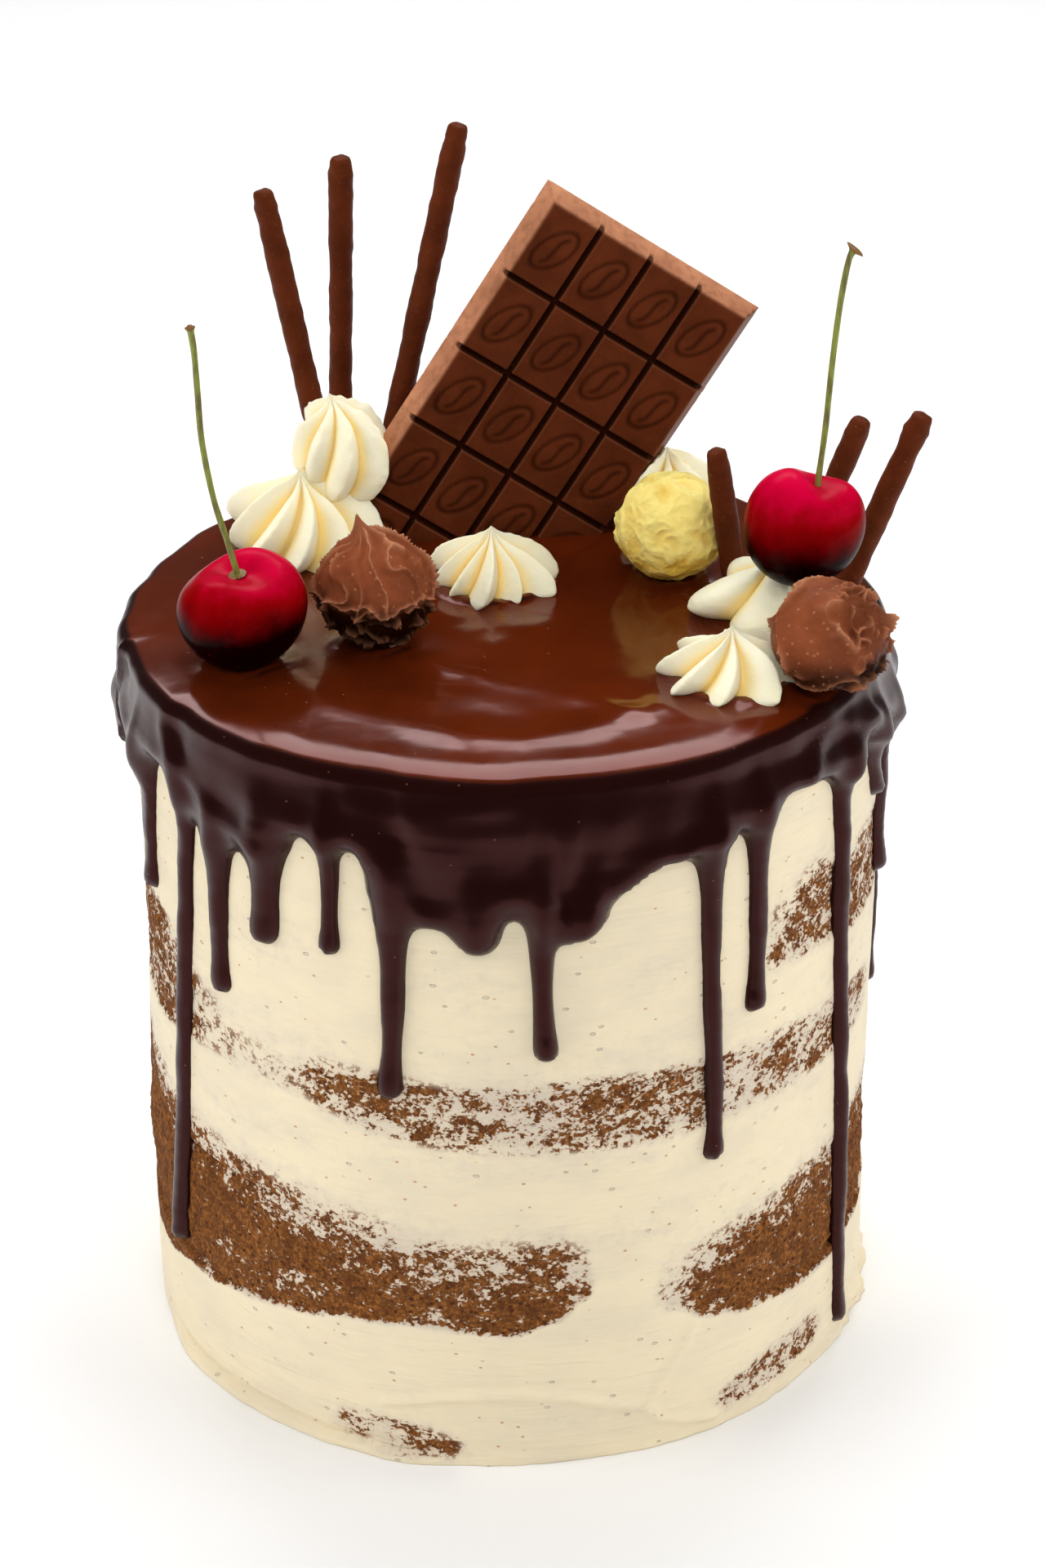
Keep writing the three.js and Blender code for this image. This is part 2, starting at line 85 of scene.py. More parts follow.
# Bands where the coat is scraped down to the sponge. Each band has the softness of its lower
# and upper edge and its stations: angle, lower edge, upper edge and how bare it is.
BARE_BANDS = [
    (1.2, 15.0, [(-136, 40, 46, 0), (-122, 31, 50, 0.85), (-104, 24, 60, 1.0), (-84, 18, 64, 1.1),
                 (-73, 20, 61, 1.08), (-57, 24, 58, 0.98), (-45, 26.5, 57, 0.94), (-36, 28.5, 56, 0.88),
                 (-25, 31, 54, 0.84), (-15, 32, 52, 0.84), (-6, 31.5, 49, 0.88), (0, 31, 50, 0.9),
                 (7, 34, 51, 0.84), (11, 38, 51, 0.62), (14, 43, 48, 0)]),
    (1.6, 12.0, [(19, 35, 40, 0), (25, 32, 43, 0.55), (32, 28, 45, 0.84), (40, 25.5, 47, 0.92),
                 (55, 23.5, 50, 0.98), (75, 25, 53, 0.98), (92, 27, 55, 0.92), (104, 34, 46, 0)]),
    (2.0, 11.0, [(118, 36, 44, 0), (130, 30, 48, 0.84), (150, 30, 51, 0.9), (172, 31, 52, 0.9),
                 (190, 33, 49, 0.65), (200, 38, 45, 0)]),
    (3.5, 7.0, [(-112, 84, 88, 0), (-98, 77, 96, 0.76), (-84, 77, 100, 0.82), (-70, 77, 103, 0.74),
                (-60, 78, 101, 0.5), (-50, 79, 96, 0.37), (-42, 79, 92, 0.34), (-34, 79, 90, 0.37)]),
    (4.0, 5.0, [(-34, 79, 90, 0.37), (-28, 77, 91, 0.45), (-19, 74, 90.5, 0.5), (-9, 73, 89, 0.5),
                (0, 73, 89.5, 0.56), (9, 73, 89.5, 0.62), (20, 72.5, 89, 0.6), (31, 72.5, 89, 0.58),
                (43, 73, 88, 0.58), (58, 73, 87, 0.52), (70, 73, 86, 0.5), (84, 77, 81, 0)]),
    (4.0, 5.0, [(96, 78, 82, 0), (106, 74, 87, 0.62), (128, 75, 89, 0.66), (150, 76, 88, 0.6),
                (160, 80, 84, 0)]),
    (4.0, 5.0, [(-176, 80, 84, 0), (-168, 76, 89, 0.6), (-145, 75, 88, 0.64), (-128, 78, 85, 0)]),
    (3.0, 9.0, [(36, 104, 114, 0), (44, 101, 118, 0.48), (52, 101, 121, 0.6), (66, 98, 118, 0.64),
                (80, 98, 119, 0.68), (96, 99, 118, 0.62), (108, 104, 113, 0)]),
    (2.0, 3.0, [(-32, 3, 6, 0), (-26, 2, 10, 0.42), (-16, 1, 10, 0.5), (-9, 1, 8, 0.42), (-4, 2, 5, 0)]),
    (2.4, 3.0, [(30, 4, 8, 0), (36, 3, 11, 0.5), (46, 4, 14, 0.52), (56, 5, 14, 0.48), (62, 7, 12, 0)]),
]
# Broad bands where the cream is so thin that the sponge greys it: height, spread and strength
HAZE_BANDS = [(110, 9, 0.24), (93, 7, 0.28), (70, 4, 0.2), (54, 6, 0.24), (12, 7, 0.12)]
# Where the wall stands in or out: how far, angle and its spread, height and its spread
WALL_SWELLS = [(-1.0, -92, 42, 100, 45), (1.3, -84, 24, 42, 15)]
# Cream pushed out at the foot: a lip between two angles, and crumbly lumps about a third
LIP = (-74, -4)
LIP_FADE = 14
LIP_OUT = 1.8
LIP_HEIGHT = 1.9
LUMPS = 80
LUMPS_OUT = 2.6
# Ledges that the scraper left low on the coat: height, width and course along the wall and up it
LEDGES = [
    (0.95, 0.95, [(-26, 13), (-14, 15.8), (-6, 16.7), (2, 17), (11, 15.7), (20, 12.7), (26.5, 11)]),
    (0.8, 0.95, [(38, 28), (35.5, 23), (33, 19.8), (29.5, 14.5), (27, 11), (30.4, 7), (36.5, 4.7),
                 (43, 3.3)]),
]
LEDGE_TOP = 34
LEDGE_REACH = 42

# Glaze
GLAZE_TOP = 154.0
GLAZE_COLUMNS = 580
GLAZE_ROW = 1.15
GLAZE_FOOT = 2.5
# Its rim: how far in from the wall it starts to fall, where it turns down, and both falls
RIM_REACH = 9.0
RIM_TURN = 3.0
RIM_FALL = 0.6
RIM_DROP = 3.6
RIM_STEPS = 10
SHOULDER = GLAZE_TOP - RIM_DROP
BEAD = 3.0
BEAD_FULLNESS = 0.72
MERGE = 5.0
INNER_GAP = 0.9
INNER_DROP = 2.6
TOP_RINGS = 32
# Crowns of the arches between the drips: angle and height
CROWNS = [(-82, 128), (-74, 134), (-64, 138), (-59.6, 138.3), (-51, 132), (-42.5, 130.5), (-30.2, 137.4),
          (-22.7, 137.2), (-11.3, 122.2), (2.2, 127.2), (8.0, 121), (14.5, 127.5), (23.5, 132.9),
          (34.5, 137.6), (44, 139.6), (51.4, 138.4), (56, 137.5), (64, 141), (67.2, 139), (75, 138)]
# Drips: angle at the root and at the tip, height of the tip, width, how far the root spreads
SEEN_DRIPS = [
    (-69, -70, 105, 4.6, 14), (-54.5, -63, 27.5, 4.7, 5), (-46.7, -48.1, 95.5, 4.8, 10),
    (-37, -38.3, 111, 5.4, 12), (-26.2, -26.4, 113, 3.9, 4), (-16.6, -17.4, 84, 4.6, 12),
    (-4.6, -4.6, 116.8, 6.1, 10), (4.8, 5.3, 93.8, 4.4, 6), (11, 10.5, 119.8, 5.6, 6),
    (30.2, 31.9, 64.8, 4.0, 10), (38.6, 39.3, 94.9, 4.3, 8), (58.3, 65, 4, 4.3, 8),
    (69.6, 74.4, 121.7, 4.6, 7), (80, 84, 98.1, 4.4, 12),
]
# Drips round the back are spread between two angles, and their crowns lie about a height
HIDDEN_DRIPS = 12
HIDDEN_FROM = 97.0
HIDDEN_TO = 272.0
HIDDEN_CROWN = 137
# A drip's shape as shares of its half width: the round tip, the slim neck, its wobble and its root
TIP_SWELL = 0.17
NECK_SLIM = 0.07
WOBBLE = 0.045
ROOT_SPREAD = 0.26
# Folds where the glaze ran down the wall: height, width and their course along the wall and up it
FOLDS = [
    (0.8, 2.2, [(-76, 148), (-72, 143.5), (-65, 140), (-60, 137), (-54, 135.5), (-48, 133)]),
    (0.5, 2.4, [(-29, 147), (-18, 146), (-9, 147.5), (0, 149.5)]),
    (0.8, 1.8, [(25, 125.5), (30, 131.5), (34, 136), (40, 137.6), (47, 136.5)]),
    (1.0, 2.0, [(62, 142), (65.6, 147), (70, 149), (78, 147.6), (87, 145)]),
    (0.7, 2.0, [(72, 135), (79, 139.3), (85, 139), (94.5, 138.3), (105, 136.4), (118, 134)]),
]
FOLD_REACH = 9
# Strokes that the spatula left in the glaze's top: height, width and their course over it
STROKES = [
    (0.5, 3.4, [(-50, -20), (-43, -34), (-35, -44), (-17, -54), (-8, -58), (3, -60), (14, -56), (28, -46)]),
    (0.42, 2.8, [(-24, -20), (-12.4, -27.8), (-2.3, -34), (7, -38.5), (15.4, -43), (24, -49)]),
    (0.4, 4.5, [(-20, 60), (20, 58), (48, 38), (62, 10)]),
]
# Where toppings stand in the glaze, which creeps up round them: place and radius
FEET = [(-50.3, -24, 7.5), (-25.2, -16.6, 6.2), (60.8, -38, 7.0), (33.2, 15, 7.0), (-2.7, 11.4, 10.5),
        (42.9, -33.8, 10.5)]
CREEP = 0.9
CREEP_WIDTH = 1.7

# Rosettes: node, middle of the foot, radius, height, petals, twist, lean of the peak,
# how domed it is, how round its petals are, seed
ROSETTES = [
    ("rosette_peak", (-32, 35.5, 165), 11.8, 20.5, 7, 62, (-3.5, 0), 1.0, 1.5, 3),
    ("rosette_large", (-40.6, 28.5, 153.8), 18.2, 18, 9, 44, (-1, 0), 0.5, 1.25, 5),
    ("rosette_middle", (-2.7, 11.4, 153.8), 14.2, 12.5, 10, 12, (0, 0), 0.35, 1.15, 8),
    ("rosette_front", (42.9, -33.8, 153.8), 14.6, 11.5, 8, 26, (0, 0), 0.2, 1.2, 11),
    ("rosette_seat", (52.4, -4, 153.8), 15, 12.5, 5, 50, (0, 0), 0.9, 1.7, 14),
    ("rosette_back", (33.5, 41, 153.8), 11.5, 17, 8, 28, (0, 0), 0.8, 1.5, 17),
]
# Outlines of a petal's crest and of the groove beside it, on a pointed and on a domed rosette:
# radius and height, from the peak down
CREST_POINTED = [(0, 1), (0.05, 0.9), (0.13, 0.8), (0.28, 0.72), (0.48, 0.63), (0.69, 0.5), (0.88, 0.31),
                 (1.0, 0.12), (0.96, 0.0)]
CREST_DOMED = [(0, 1), (0.1, 0.94), (0.32, 0.88), (0.6, 0.79), (0.84, 0.64), (0.97, 0.44), (1.0, 0.25),
               (0.93, 0.1), (0.82, 0.0)]
GROOVE_POINTED = [(0, 1), (0.03, 0.84), (0.07, 0.7), (0.14, 0.57), (0.25, 0.44), (0.37, 0.3), (0.48, 0.16),
                  (0.55, 0.05), (0.56, 0.0)]
GROOVE_DOMED = [(0, 1), (0.06, 0.89), (0.17, 0.79), (0.34, 0.68), (0.5, 0.52), (0.6, 0.35), (0.63, 0.2),
                (0.6, 0.08), (0.55, 0.0)]
PETAL_SKEW = 0.32
PETAL_COLUMNS = 24
ROSETTE_ROWS = 60
# The spun ring that petals are shaped from, and the smaller one that closes it below
PETAL_RING = 0.5
CLOSING_RING = 0.45

# Chocolate bar, in its own frame: x along its width, z up its length, face towards -y
BAR_COLUMNS = 4
BAR_ROWS = 6
COLUMN_PITCH = 11.8
ROW_PITCH = 17.7
BAR_WIDTH = BAR_COLUMNS * COLUMN_PITCH
BAR_LENGTH = BAR_ROWS * ROW_PITCH
BAR_RIM = 2.0
BAR_SLOPE = 2.5
BAR_SIDE = 4.9
PIECE_RISE = 1.9
BAR_DEPTH = 5.5
BAR_CORNER = (10.2, 38.3, 225.1)
BAR_LEAN = -3.7
BAR_SLANT = 33.4
BAR_SWING = 5.1
BAR_END = 142.0
# Grid lines in from the bar's edge and from a groove, and the even ones of a piece's face
EDGE_LINES = (0, 0.2, 0.6, 1.0, 1.4, 1.8)
GROOVE_LINES = (0.12, 0.35, 0.55, 0.75, 0.9, 1.05)
FACE_START = 1.3
FACE_LINE = 0.44
# Cocoa bean on each piece: half its width and length, its turn, and its relief
BEAN_HALF = (2.6, 5.0)
BEAN_TURN = math.radians(28)
BEAN_RISE = 1.1
BEAN_SEAM = 0.9
BEAN_MOAT = 0.5

# Sticks: where each enters the glaze and its tip
STICKS = [
    ((-35.1, 47, 154), (-47.9, 44, 224.9)), ((-34.6, 55, 154), (-32.7, 56, 227.9)),
    ((-26.7, 50, 154), (-8.8, 52, 235.8)), ((46.2, 7, 154), (41.6, 6, 184)),
    ((60, 20, 154), (71.6, 23, 183.6)), ((66.5, 2, 154), (81.3, 2, 192.8)),
]
STICK_DEPTH = 8.0
STICK_ROW = 0.5
STICK_COLUMNS = 28

# Cherries: node, centre, radius, height, lean to the front and the right, direction of the fold,
# and how deep the painted shade is at half height and how fast it lessens upwards
CHERRIES = [
    ("cherry_left", (-50.3, -24, 164.8), 13.2, 21.9, (9, -5), 60, 0.86, 1.5),
    ("cherry_right", (57.6, -12.6, 176.4), 11.7, 24.2, (4, 17), 5, 0.74, 1.35),
]
CHERRY_ROWS = 72
CHERRY_COLUMNS = 112
# How far the fruit that stands in the glaze sinks into it
SUNK_IN = 0.3
# Stems: node, radius of the knob at the end, and points from the fruit up
STEMS = [
    ("cherry_left_stem", 1.0, [(-51.0, -25.2, 172.6), (-51.3, -25.4, 174.2), (-52.7, -25.2, 179.8),
                               (-54.9, -25, 188.2), (-56.6, -25, 199.8), (-57, -25, 210),
                               (-57.3, -25, 217.7), (-57.9, -25, 222.8)]),
    ("cherry_right_stem", 1.9, [(60.0, -12.7, 184.2), (60.2, -12.6, 186.4), (61.3, -11.6, 196.1),
                                (62.3, -10.8, 209.4), (63.5, -10, 220.9), (64.8, -10, 229.2),
                                (66, -10, 231.6)]),
]
STEM_ROW = 0.5
STEM_COLUMNS = 14

# Truffles. drawn: how much the patches are drawn out upwards; rough_way, reach: way to the rough
# side and how far it comes round; cap: height of the dipped cap's edge as a share of the radius;
# ribs: their number round the spike, in place of patches
TRUFFLES = [
    ("truffle_left", (-25.2, -16.6, 165.2), 12.0, dict(
        seed=1.3, patch=7.0, drawn=0.3, rough_way=(0.15, -0.2, -1), reach=-0.05,
        spike_way=(-0.2, 0.1, 0.97), spike=5.2, cap=0.0, ribs=11)),
    ("truffle_right", (60.8, -38, 164.6), 11.9, dict(
        seed=4.1, patch=16.0, drawn=1.0, rough_way=(0.93, 0.05, 0.3), reach=0.25,
        spike_way=(0.93, -0.1, 0.35), spike=1.6, cap=-0.66)),
]
# The crumpled white one
WHITE_TRUFFLE = ("truffle_white", (33.2, 15, 164.2), 11.3, 7.7)
TRUFFLE_FLAT = 0.97
# noise_vector takes its seed from the clock unless one is set
CRUST_SEED = 5

# Colours of small details, of the painted shade in chocolate, and of the gloss
DARK_CHOCOLATE_AND_SHADE = (0.013, 0.0025, 0.0006, 1)
GLAZE_SPECK = (0.35, 0.14, 0.07, 1)
CHERRY_FLECK = (0.4, 0.004, 0.02, 1)
STEM_GRAIN = (0.12, 0.10, 0.03, 1)
GLAZE_GLOSS = (1.0, 0.36, 0.34, 1)
CHOCOLATE_GLOSS = (1.0, 0.6, 0.5, 1)
WARM_SPREAD = (1.0, 0.62, 0.3)

# Lights: name, place, target, width and height, power, and whether it shows in a gloss
LIGHTS = [
    ("Rear softbox", (0, 0.95, 1.1), (0, 0, 0.15), (1.3, 0.5), 9, True),
    ("Top light", (0, 0.05, 1.25), (0, 0, 0.12), (0.9, 0.9), 6, False),
    ("Left softbox", (-1.05, -0.3, 0.5), (0, 0, 0.1), (0.8, 0.9), 7, False),
    ("Right softbox", (1.05, -0.2, 0.5), (0, 0, 0.1), (0.8, 0.9), 6, False),
    ("Front fill", (0.1, -1.4, 1.1), (0, 0, 0.06), (1.4, 1.0), 12.2, False),
    ("Backdrop light", (0, 0.9, 1.4), (0, 1.9, 0.3), (2.4, 0.8), 8.0, False),
]
WORLD_LIGHT = 0.06
# The floor from front to back, the radius of its sweep up to the wall, and the wall's top. In
# front of the split it isn't mirrored, so the front of the glaze stays dark.
FLOOR_FRONT = -3.0
FLOOR_SPLIT = -0.35
FLOOR_BACK = 1.6
SWEEP = 0.8
WALL_TOP = 3.5
STAGE_WIDTH = 7.0

# Camera
CAMERA_PLACE = (0.00016, -0.70307, 0.47670)
CAMERA_YAW = 0.0043
CAMERA_PITCH = 0.476
CAMERA_ROLL = -0.0055
FOCAL_LENGTH = 89.5
SENSOR = 36.0


# Sizes and colours that a user may change

def size(label, description, value):
    return FloatProperty(name=label, description=description, default=value, unit="LENGTH")


class CakeSizes(bpy.types.PropertyGroup):
    """Sizes of the finishing details."""
    crumb: size("Crumb", "How rough the bare sponge is", 0.00045)
    scrape: size("Scrape", "Depth of the scraper's marks in the coat", 0.00012)
    ripple: size("Ripple", "Height of the waves in the glaze's top", 0.0004)
    stick: size("Stick radius", "Radius of a chocolate stick", 0.00245)
    stem: size("Stem radius", "Radius of a cherry stem", 0.0006)


def colour(label, description, value):
    return FloatVectorProperty(
        name=label, description=description, subtype="COLOR", size=3, min=0, max=1, default=value)


class CakeColours(bpy.types.PropertyGroup):
    """Colours of the finishes."""
    cream: colour("Cream", "Piped cream", (0.97, 0.91, 0.69))
    # Painted shade: the cream's deeper yellow down in the grooves between petals
    fold: colour("Cream in a fold", "Piped cream deep between its petals", (0.98, 0.72, 0.22))
    coat: colour("Coat", "Cream of the coat and the fillings", (0.86, 0.745, 0.525))
    haze: colour("Haze", "Cream so thin that the sponge shows through", (0.56, 0.49, 0.43))
    crumb: colour("Crumb", "Sponge", (0.50, 0.187, 0.046))
    crumb_dark: colour("Dark crumb", "Pores and baked edges of the sponge", (0.085, 0.026, 0.009))
    # The wall's dark glaze is its own colour; the top's lighter brown, set by which way the surface faces, is
    # painted light
    glaze: colour("Glaze", "Glaze where it runs thick", (0.011, 0.0022, 0.0018))
    glaze_lit_top: colour("Toplit glaze", "Glaze on the flat top", (0.11, 0.0145, 0.0018))
    milk: colour("Milk chocolate", "Chocolate bar", (0.115, 0.0248, 0.0078))
    dipped: colour("Dipped chocolate", "Chocolate sticks", (0.12, 0.025, 0.008))
    # Pale edges and crests of chocolate, partly painted sheen where they face the lights
    bloom_and_sheen: colour("Bloom_and_sheen", "Pale edges and crests of set chocolate", (0.58, 0.255, 0.135))
    truffle: colour("Truffle", "Milk truffles", (0.27, 0.072, 0.028))
    white: colour("White chocolate", "White truffle", (0.97, 0.79, 0.25))
    # Painted shade of the white truffle, in its hollows and low down
    white_shaded: colour("Deep white chocolate", "Hollows of the white truffle", (0.84, 0.56, 0.09))
    cherry: colour("Cherry", "Lit skin of the cherries", (0.60, 0.0004, 0.04))
    cherry_mid: colour("Ripe cherry", "Skin on the sides of the fruit", (0.30, 0.0002, 0.002))
    # Painted shade on the low part of the fruit
    cherry_shaded: colour("Dark cherry", "Shaded skin, low on the fruit", (0.006, 0.0001, 0.0001))
    stem: colour("Stem", "Green of the stems", (0.24, 0.27, 0.045))
    stem_end: colour("Stem end", "Woody ends of the stems", (0.20, 0.10, 0.03))
    floor: colour("Floor", "Table and backdrop", (0.93, 0.93, 0.93))


def sizes(name):
    """A size in millimetres."""
    return getattr(bpy.context.scene.cake_sizes, name) / MM


def tint(name):
    """A colour with full alpha."""
    return (*getattr(bpy.context.scene.cake_colours, name), 1.0)


# Small helpers for shapes

def mix(low, high, part):
    return low + (high - low) * part


def clamp(value, low=0.0, high=1.0):
    return max(low, min(high, value))


def smooth(value):
    value = clamp(value)
    return value * value * (3 - 2 * value)


def bell(distance, width):
    return math.exp(-((distance / width) ** 2))


def window(value, low, high, fade):
    """1 between two edges, falling to 0 at them."""
    return smooth((value - low) / fade) * smooth((high - value) / fade)


def apart(a, b):
    """The smallest difference of two angles in degrees."""
    return (a - b + 180) % 360 - 180


def arc(degrees):
    """Length along the wall of the cake."""
    return math.radians(degrees) * COAT_RADIUS


def around(angle, radius, height):
    turn = math.radians(angle)
    return Vector((radius * math.sin(turn), -radius * math.cos(turn), height))


def polar(point):
    """Angle, radius and height of a point."""
    return math.degrees(math.atan2(point.x, -point.y)), math.hypot(point.x, point.y), point.z


def draw(index, salt):
    """A repeatable number from 0 to 1."""
    return (math.sin(index * 12.99 + salt * 78.23) * 43758.5) % 1


def waves(point, size, seed=0.0):
    """Smooth noise from -1 to 1 with features of about a size."""
    return noise.noise(Vector(point) / size + Vector((seed * 7.3, seed * 3.1, seed * 5.7)))


def relief(point, *layers):
    """Waves laid over each other, each with its height, the size of its features and its seed."""
    return sum(height * waves(point, size, seed) for height, size, seed in layers)


def smooth_max(a, b, reach):
    overlap = max(reach - abs(a - b), 0) / reach
    return max(a, b) + overlap * overlap * reach / 4


def along(points, part):
    """A point on a smooth curve through points, from 0 to 1."""
    place = clamp(part) * (len(points) - 1)
    index = min(int(place), len(points) - 2)
    t = place - index
    before = points[max(index - 1, 0)]
    after = points[min(index + 2, len(points) - 1)]
    result = []
    for a, b, c, d in zip(before, points[index], points[index + 1], after):
        bend = 2 * b + (c - a) * t + (2 * a - 5 * b + 4 * c - d) * t * t + (3 * b - a - 3 * c + d) * t ** 3
        result.append(bend / 2)
    return result


def from_path(x, y, path):
    """Distance of a spot from a line through points."""
    nearest = 1e9
    for (ax, ay), (bx, by) in zip(path, path[1:]):
        run_x, run_y = bx - ax, by - ay
        part = clamp(((x - ax) * run_x + (y - ay) * run_y) / (run_x ** 2 + run_y ** 2))
        nearest = min(nearest, math.hypot(x - ax - run_x * part, y - ay - run_y * part))
    return nearest


def spun(profile, columns, closed=False):
    """A surface of (radius, height) points turned about the Z axis: a grid rolled up and joined."""
    if closed:
        profile = profile + profile[:1]
    rows = len(profile) - 1
    bm = bmesh.new()
    bmesh.ops.create_grid(bm, x_segments=columns, y_segments=rows, size=1)
    for vert in bm.verts:
        radius, height = profile[round((vert.co.y + 1) / 2 * rows)]
        vert.co = around(180 + vert.co.x * 180, radius, height)
    ends = [vert for vert in bm.verts if vert.is_boundary]
    bmesh.ops.remove_doubles(bm, verts=ends, dist=1e-3)
    bmesh.ops.recalc_face_normals(bm, faces=bm.faces)
    return bm


def reshape(bm, place):
    """Moves each point to place(angle, radius, height) of where it was."""
    for vert in bm.verts:
        vert.co = place(*polar(vert.co))
    bmesh.ops.recalc_face_normals(bm, faces=bm.faces)


def only_verts(geometry):
    return [item for item in geometry if isinstance(item, bmesh.types.BMVert)]


def new_object(name, bm, material):
    """A smooth object of a mesh, which is used up."""
    mesh = bpy.data.meshes.new(name)
    bm.to_mesh(mesh)
    bm.free()
    mesh.shade_smooth()
    mesh.materials.append(material)
    item = bpy.data.objects.new(name, mesh)
    bpy.context.scene.collection.objects.link(item)
    return item


def add_piece(name, bm, material, slot, *nodes, values=None):
    """Finishes a mesh made in millimetres as a piece that stands for CAD nodes."""
    bmesh.ops.scale(bm, vec=(MM, MM, MM), verts=bm.verts)
    piece = new_object(name, bm, material)
    for key, numbers in (values or {}).items():
        piece.data.attributes.new(key, "FLOAT", "POINT").data.foreach_set("value", numbers)
    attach(piece, "root")
    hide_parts(*nodes)


# Materials

class Nodes:
    """Adds nodes to a material or a node group, with patterns laid out on Object coordinates."""

    def __init__(self, tree):
        self.tree = tree

    def plug(self, item, inputs):
        """Links or sets a node's inputs."""
        for key, value in inputs.items():
            if isinstance(value, bpy.types.NodeSocket):
                self.tree.links.new(value, item.inputs[key])
            else:
                item.inputs[key].default_value = value

    def add(self, kind, inputs, **settings):
        """The outputs of a new node."""
        item = self.tree.nodes.new(kind)
        for key, value in settings.items():
            setattr(item, key, value)
        self.plug(item, inputs)
        return item.outputs

    @cached_property
    def place(self):
        return self.add("ShaderNodeTexCoord", {})["Object"]

    def stored(self, name):
        """A number stored with each point of the mesh."""
        return self.add("ShaderNodeAttribute", {}, attribute_name=name)["Fac"]

    def mixed(self, factor, a, b):
        return self.add("ShaderNodeMix", {0: factor, 6: a, 7: b}, data_type="RGBA")[2]

    def maths(self, operation, a, b=0.0, c=0.0):
        return self.add("ShaderNodeMath", {0: a, 1: b, 2: c}, operation=operation)[0]

    def plus(self, a, b):
        return self.maths("ADD", a, b)

    def times(self, a, b):
        return self.maths("MULTIPLY", a, b)

    def centred(self, value, span):
        """A value from 0 to 1 spread over a span about 0."""
        return self.maths("MULTIPLY_ADD", value, span, -span / 2)

    def ranged(self, value, low, high, to_low=0.0, to_high=1.0):
        inputs = {"Value": value, 1: low, 2: high, 3: to_low, 4: to_high}
        return self.add("ShaderNodeMapRange", inputs, interpolation_type="SMOOTHSTEP")[0]

    def pattern(self, kind, per_mm, stretch, inputs):
        """A texture with a number of features to each millimetre."""
        scale = [per_mm / MM * part for part in stretch]
        place = self.add("ShaderNodeMapping", {"Vector": self.place, "Scale": scale})[0]
        return self.add(kind, {"Vector": place, "Scale": 1.0, **inputs})[0]

    def spots(self, per_mm, detail=3.0, rough=0.55, stretch=(1, 1, 1)):
        """Noise from 0 to 1."""
        return self.pattern("ShaderNodeTexNoise", per_mm, stretch, {"Detail": detail, "Roughness": rough})

    def pores(self, per_mm, stretch=(1, 1, 1)):
        """Distance to the nearest of scattered points."""
        return self.pattern("ShaderNodeTexVoronoi", per_mm, stretch, {})

    def bump(self, height, depth):
        """A normal with relief of a depth in millimetres."""
        return self.add("ShaderNodeBump", {"Height": height, "Distance": depth * MM, "Strength": 1.0})[0]


def new_group(name, colours, numbers, results):
    """A node group that takes colours and numbers, and gives a colour and more numbers."""
    tree = bpy.data.node_groups.new(name, "ShaderNodeTree")
    sockets = [(label, "INPUT", "NodeSocketColor") for label in colours]
    sockets += [(label, "INPUT", "NodeSocketFloat") for label in numbers]
    sockets += [("Color", "OUTPUT", "NodeSocketColor")]
    sockets += [(label, "OUTPUT", "NodeSocketFloat") for label in results]
    for label, side, kind in sockets:
        tree.interface.new_socket(label, in_out=side, socket_type=kind)
    return Nodes(tree), tree.nodes.new("NodeGroupInput").outputs, tree.nodes.new("NodeGroupOutput")


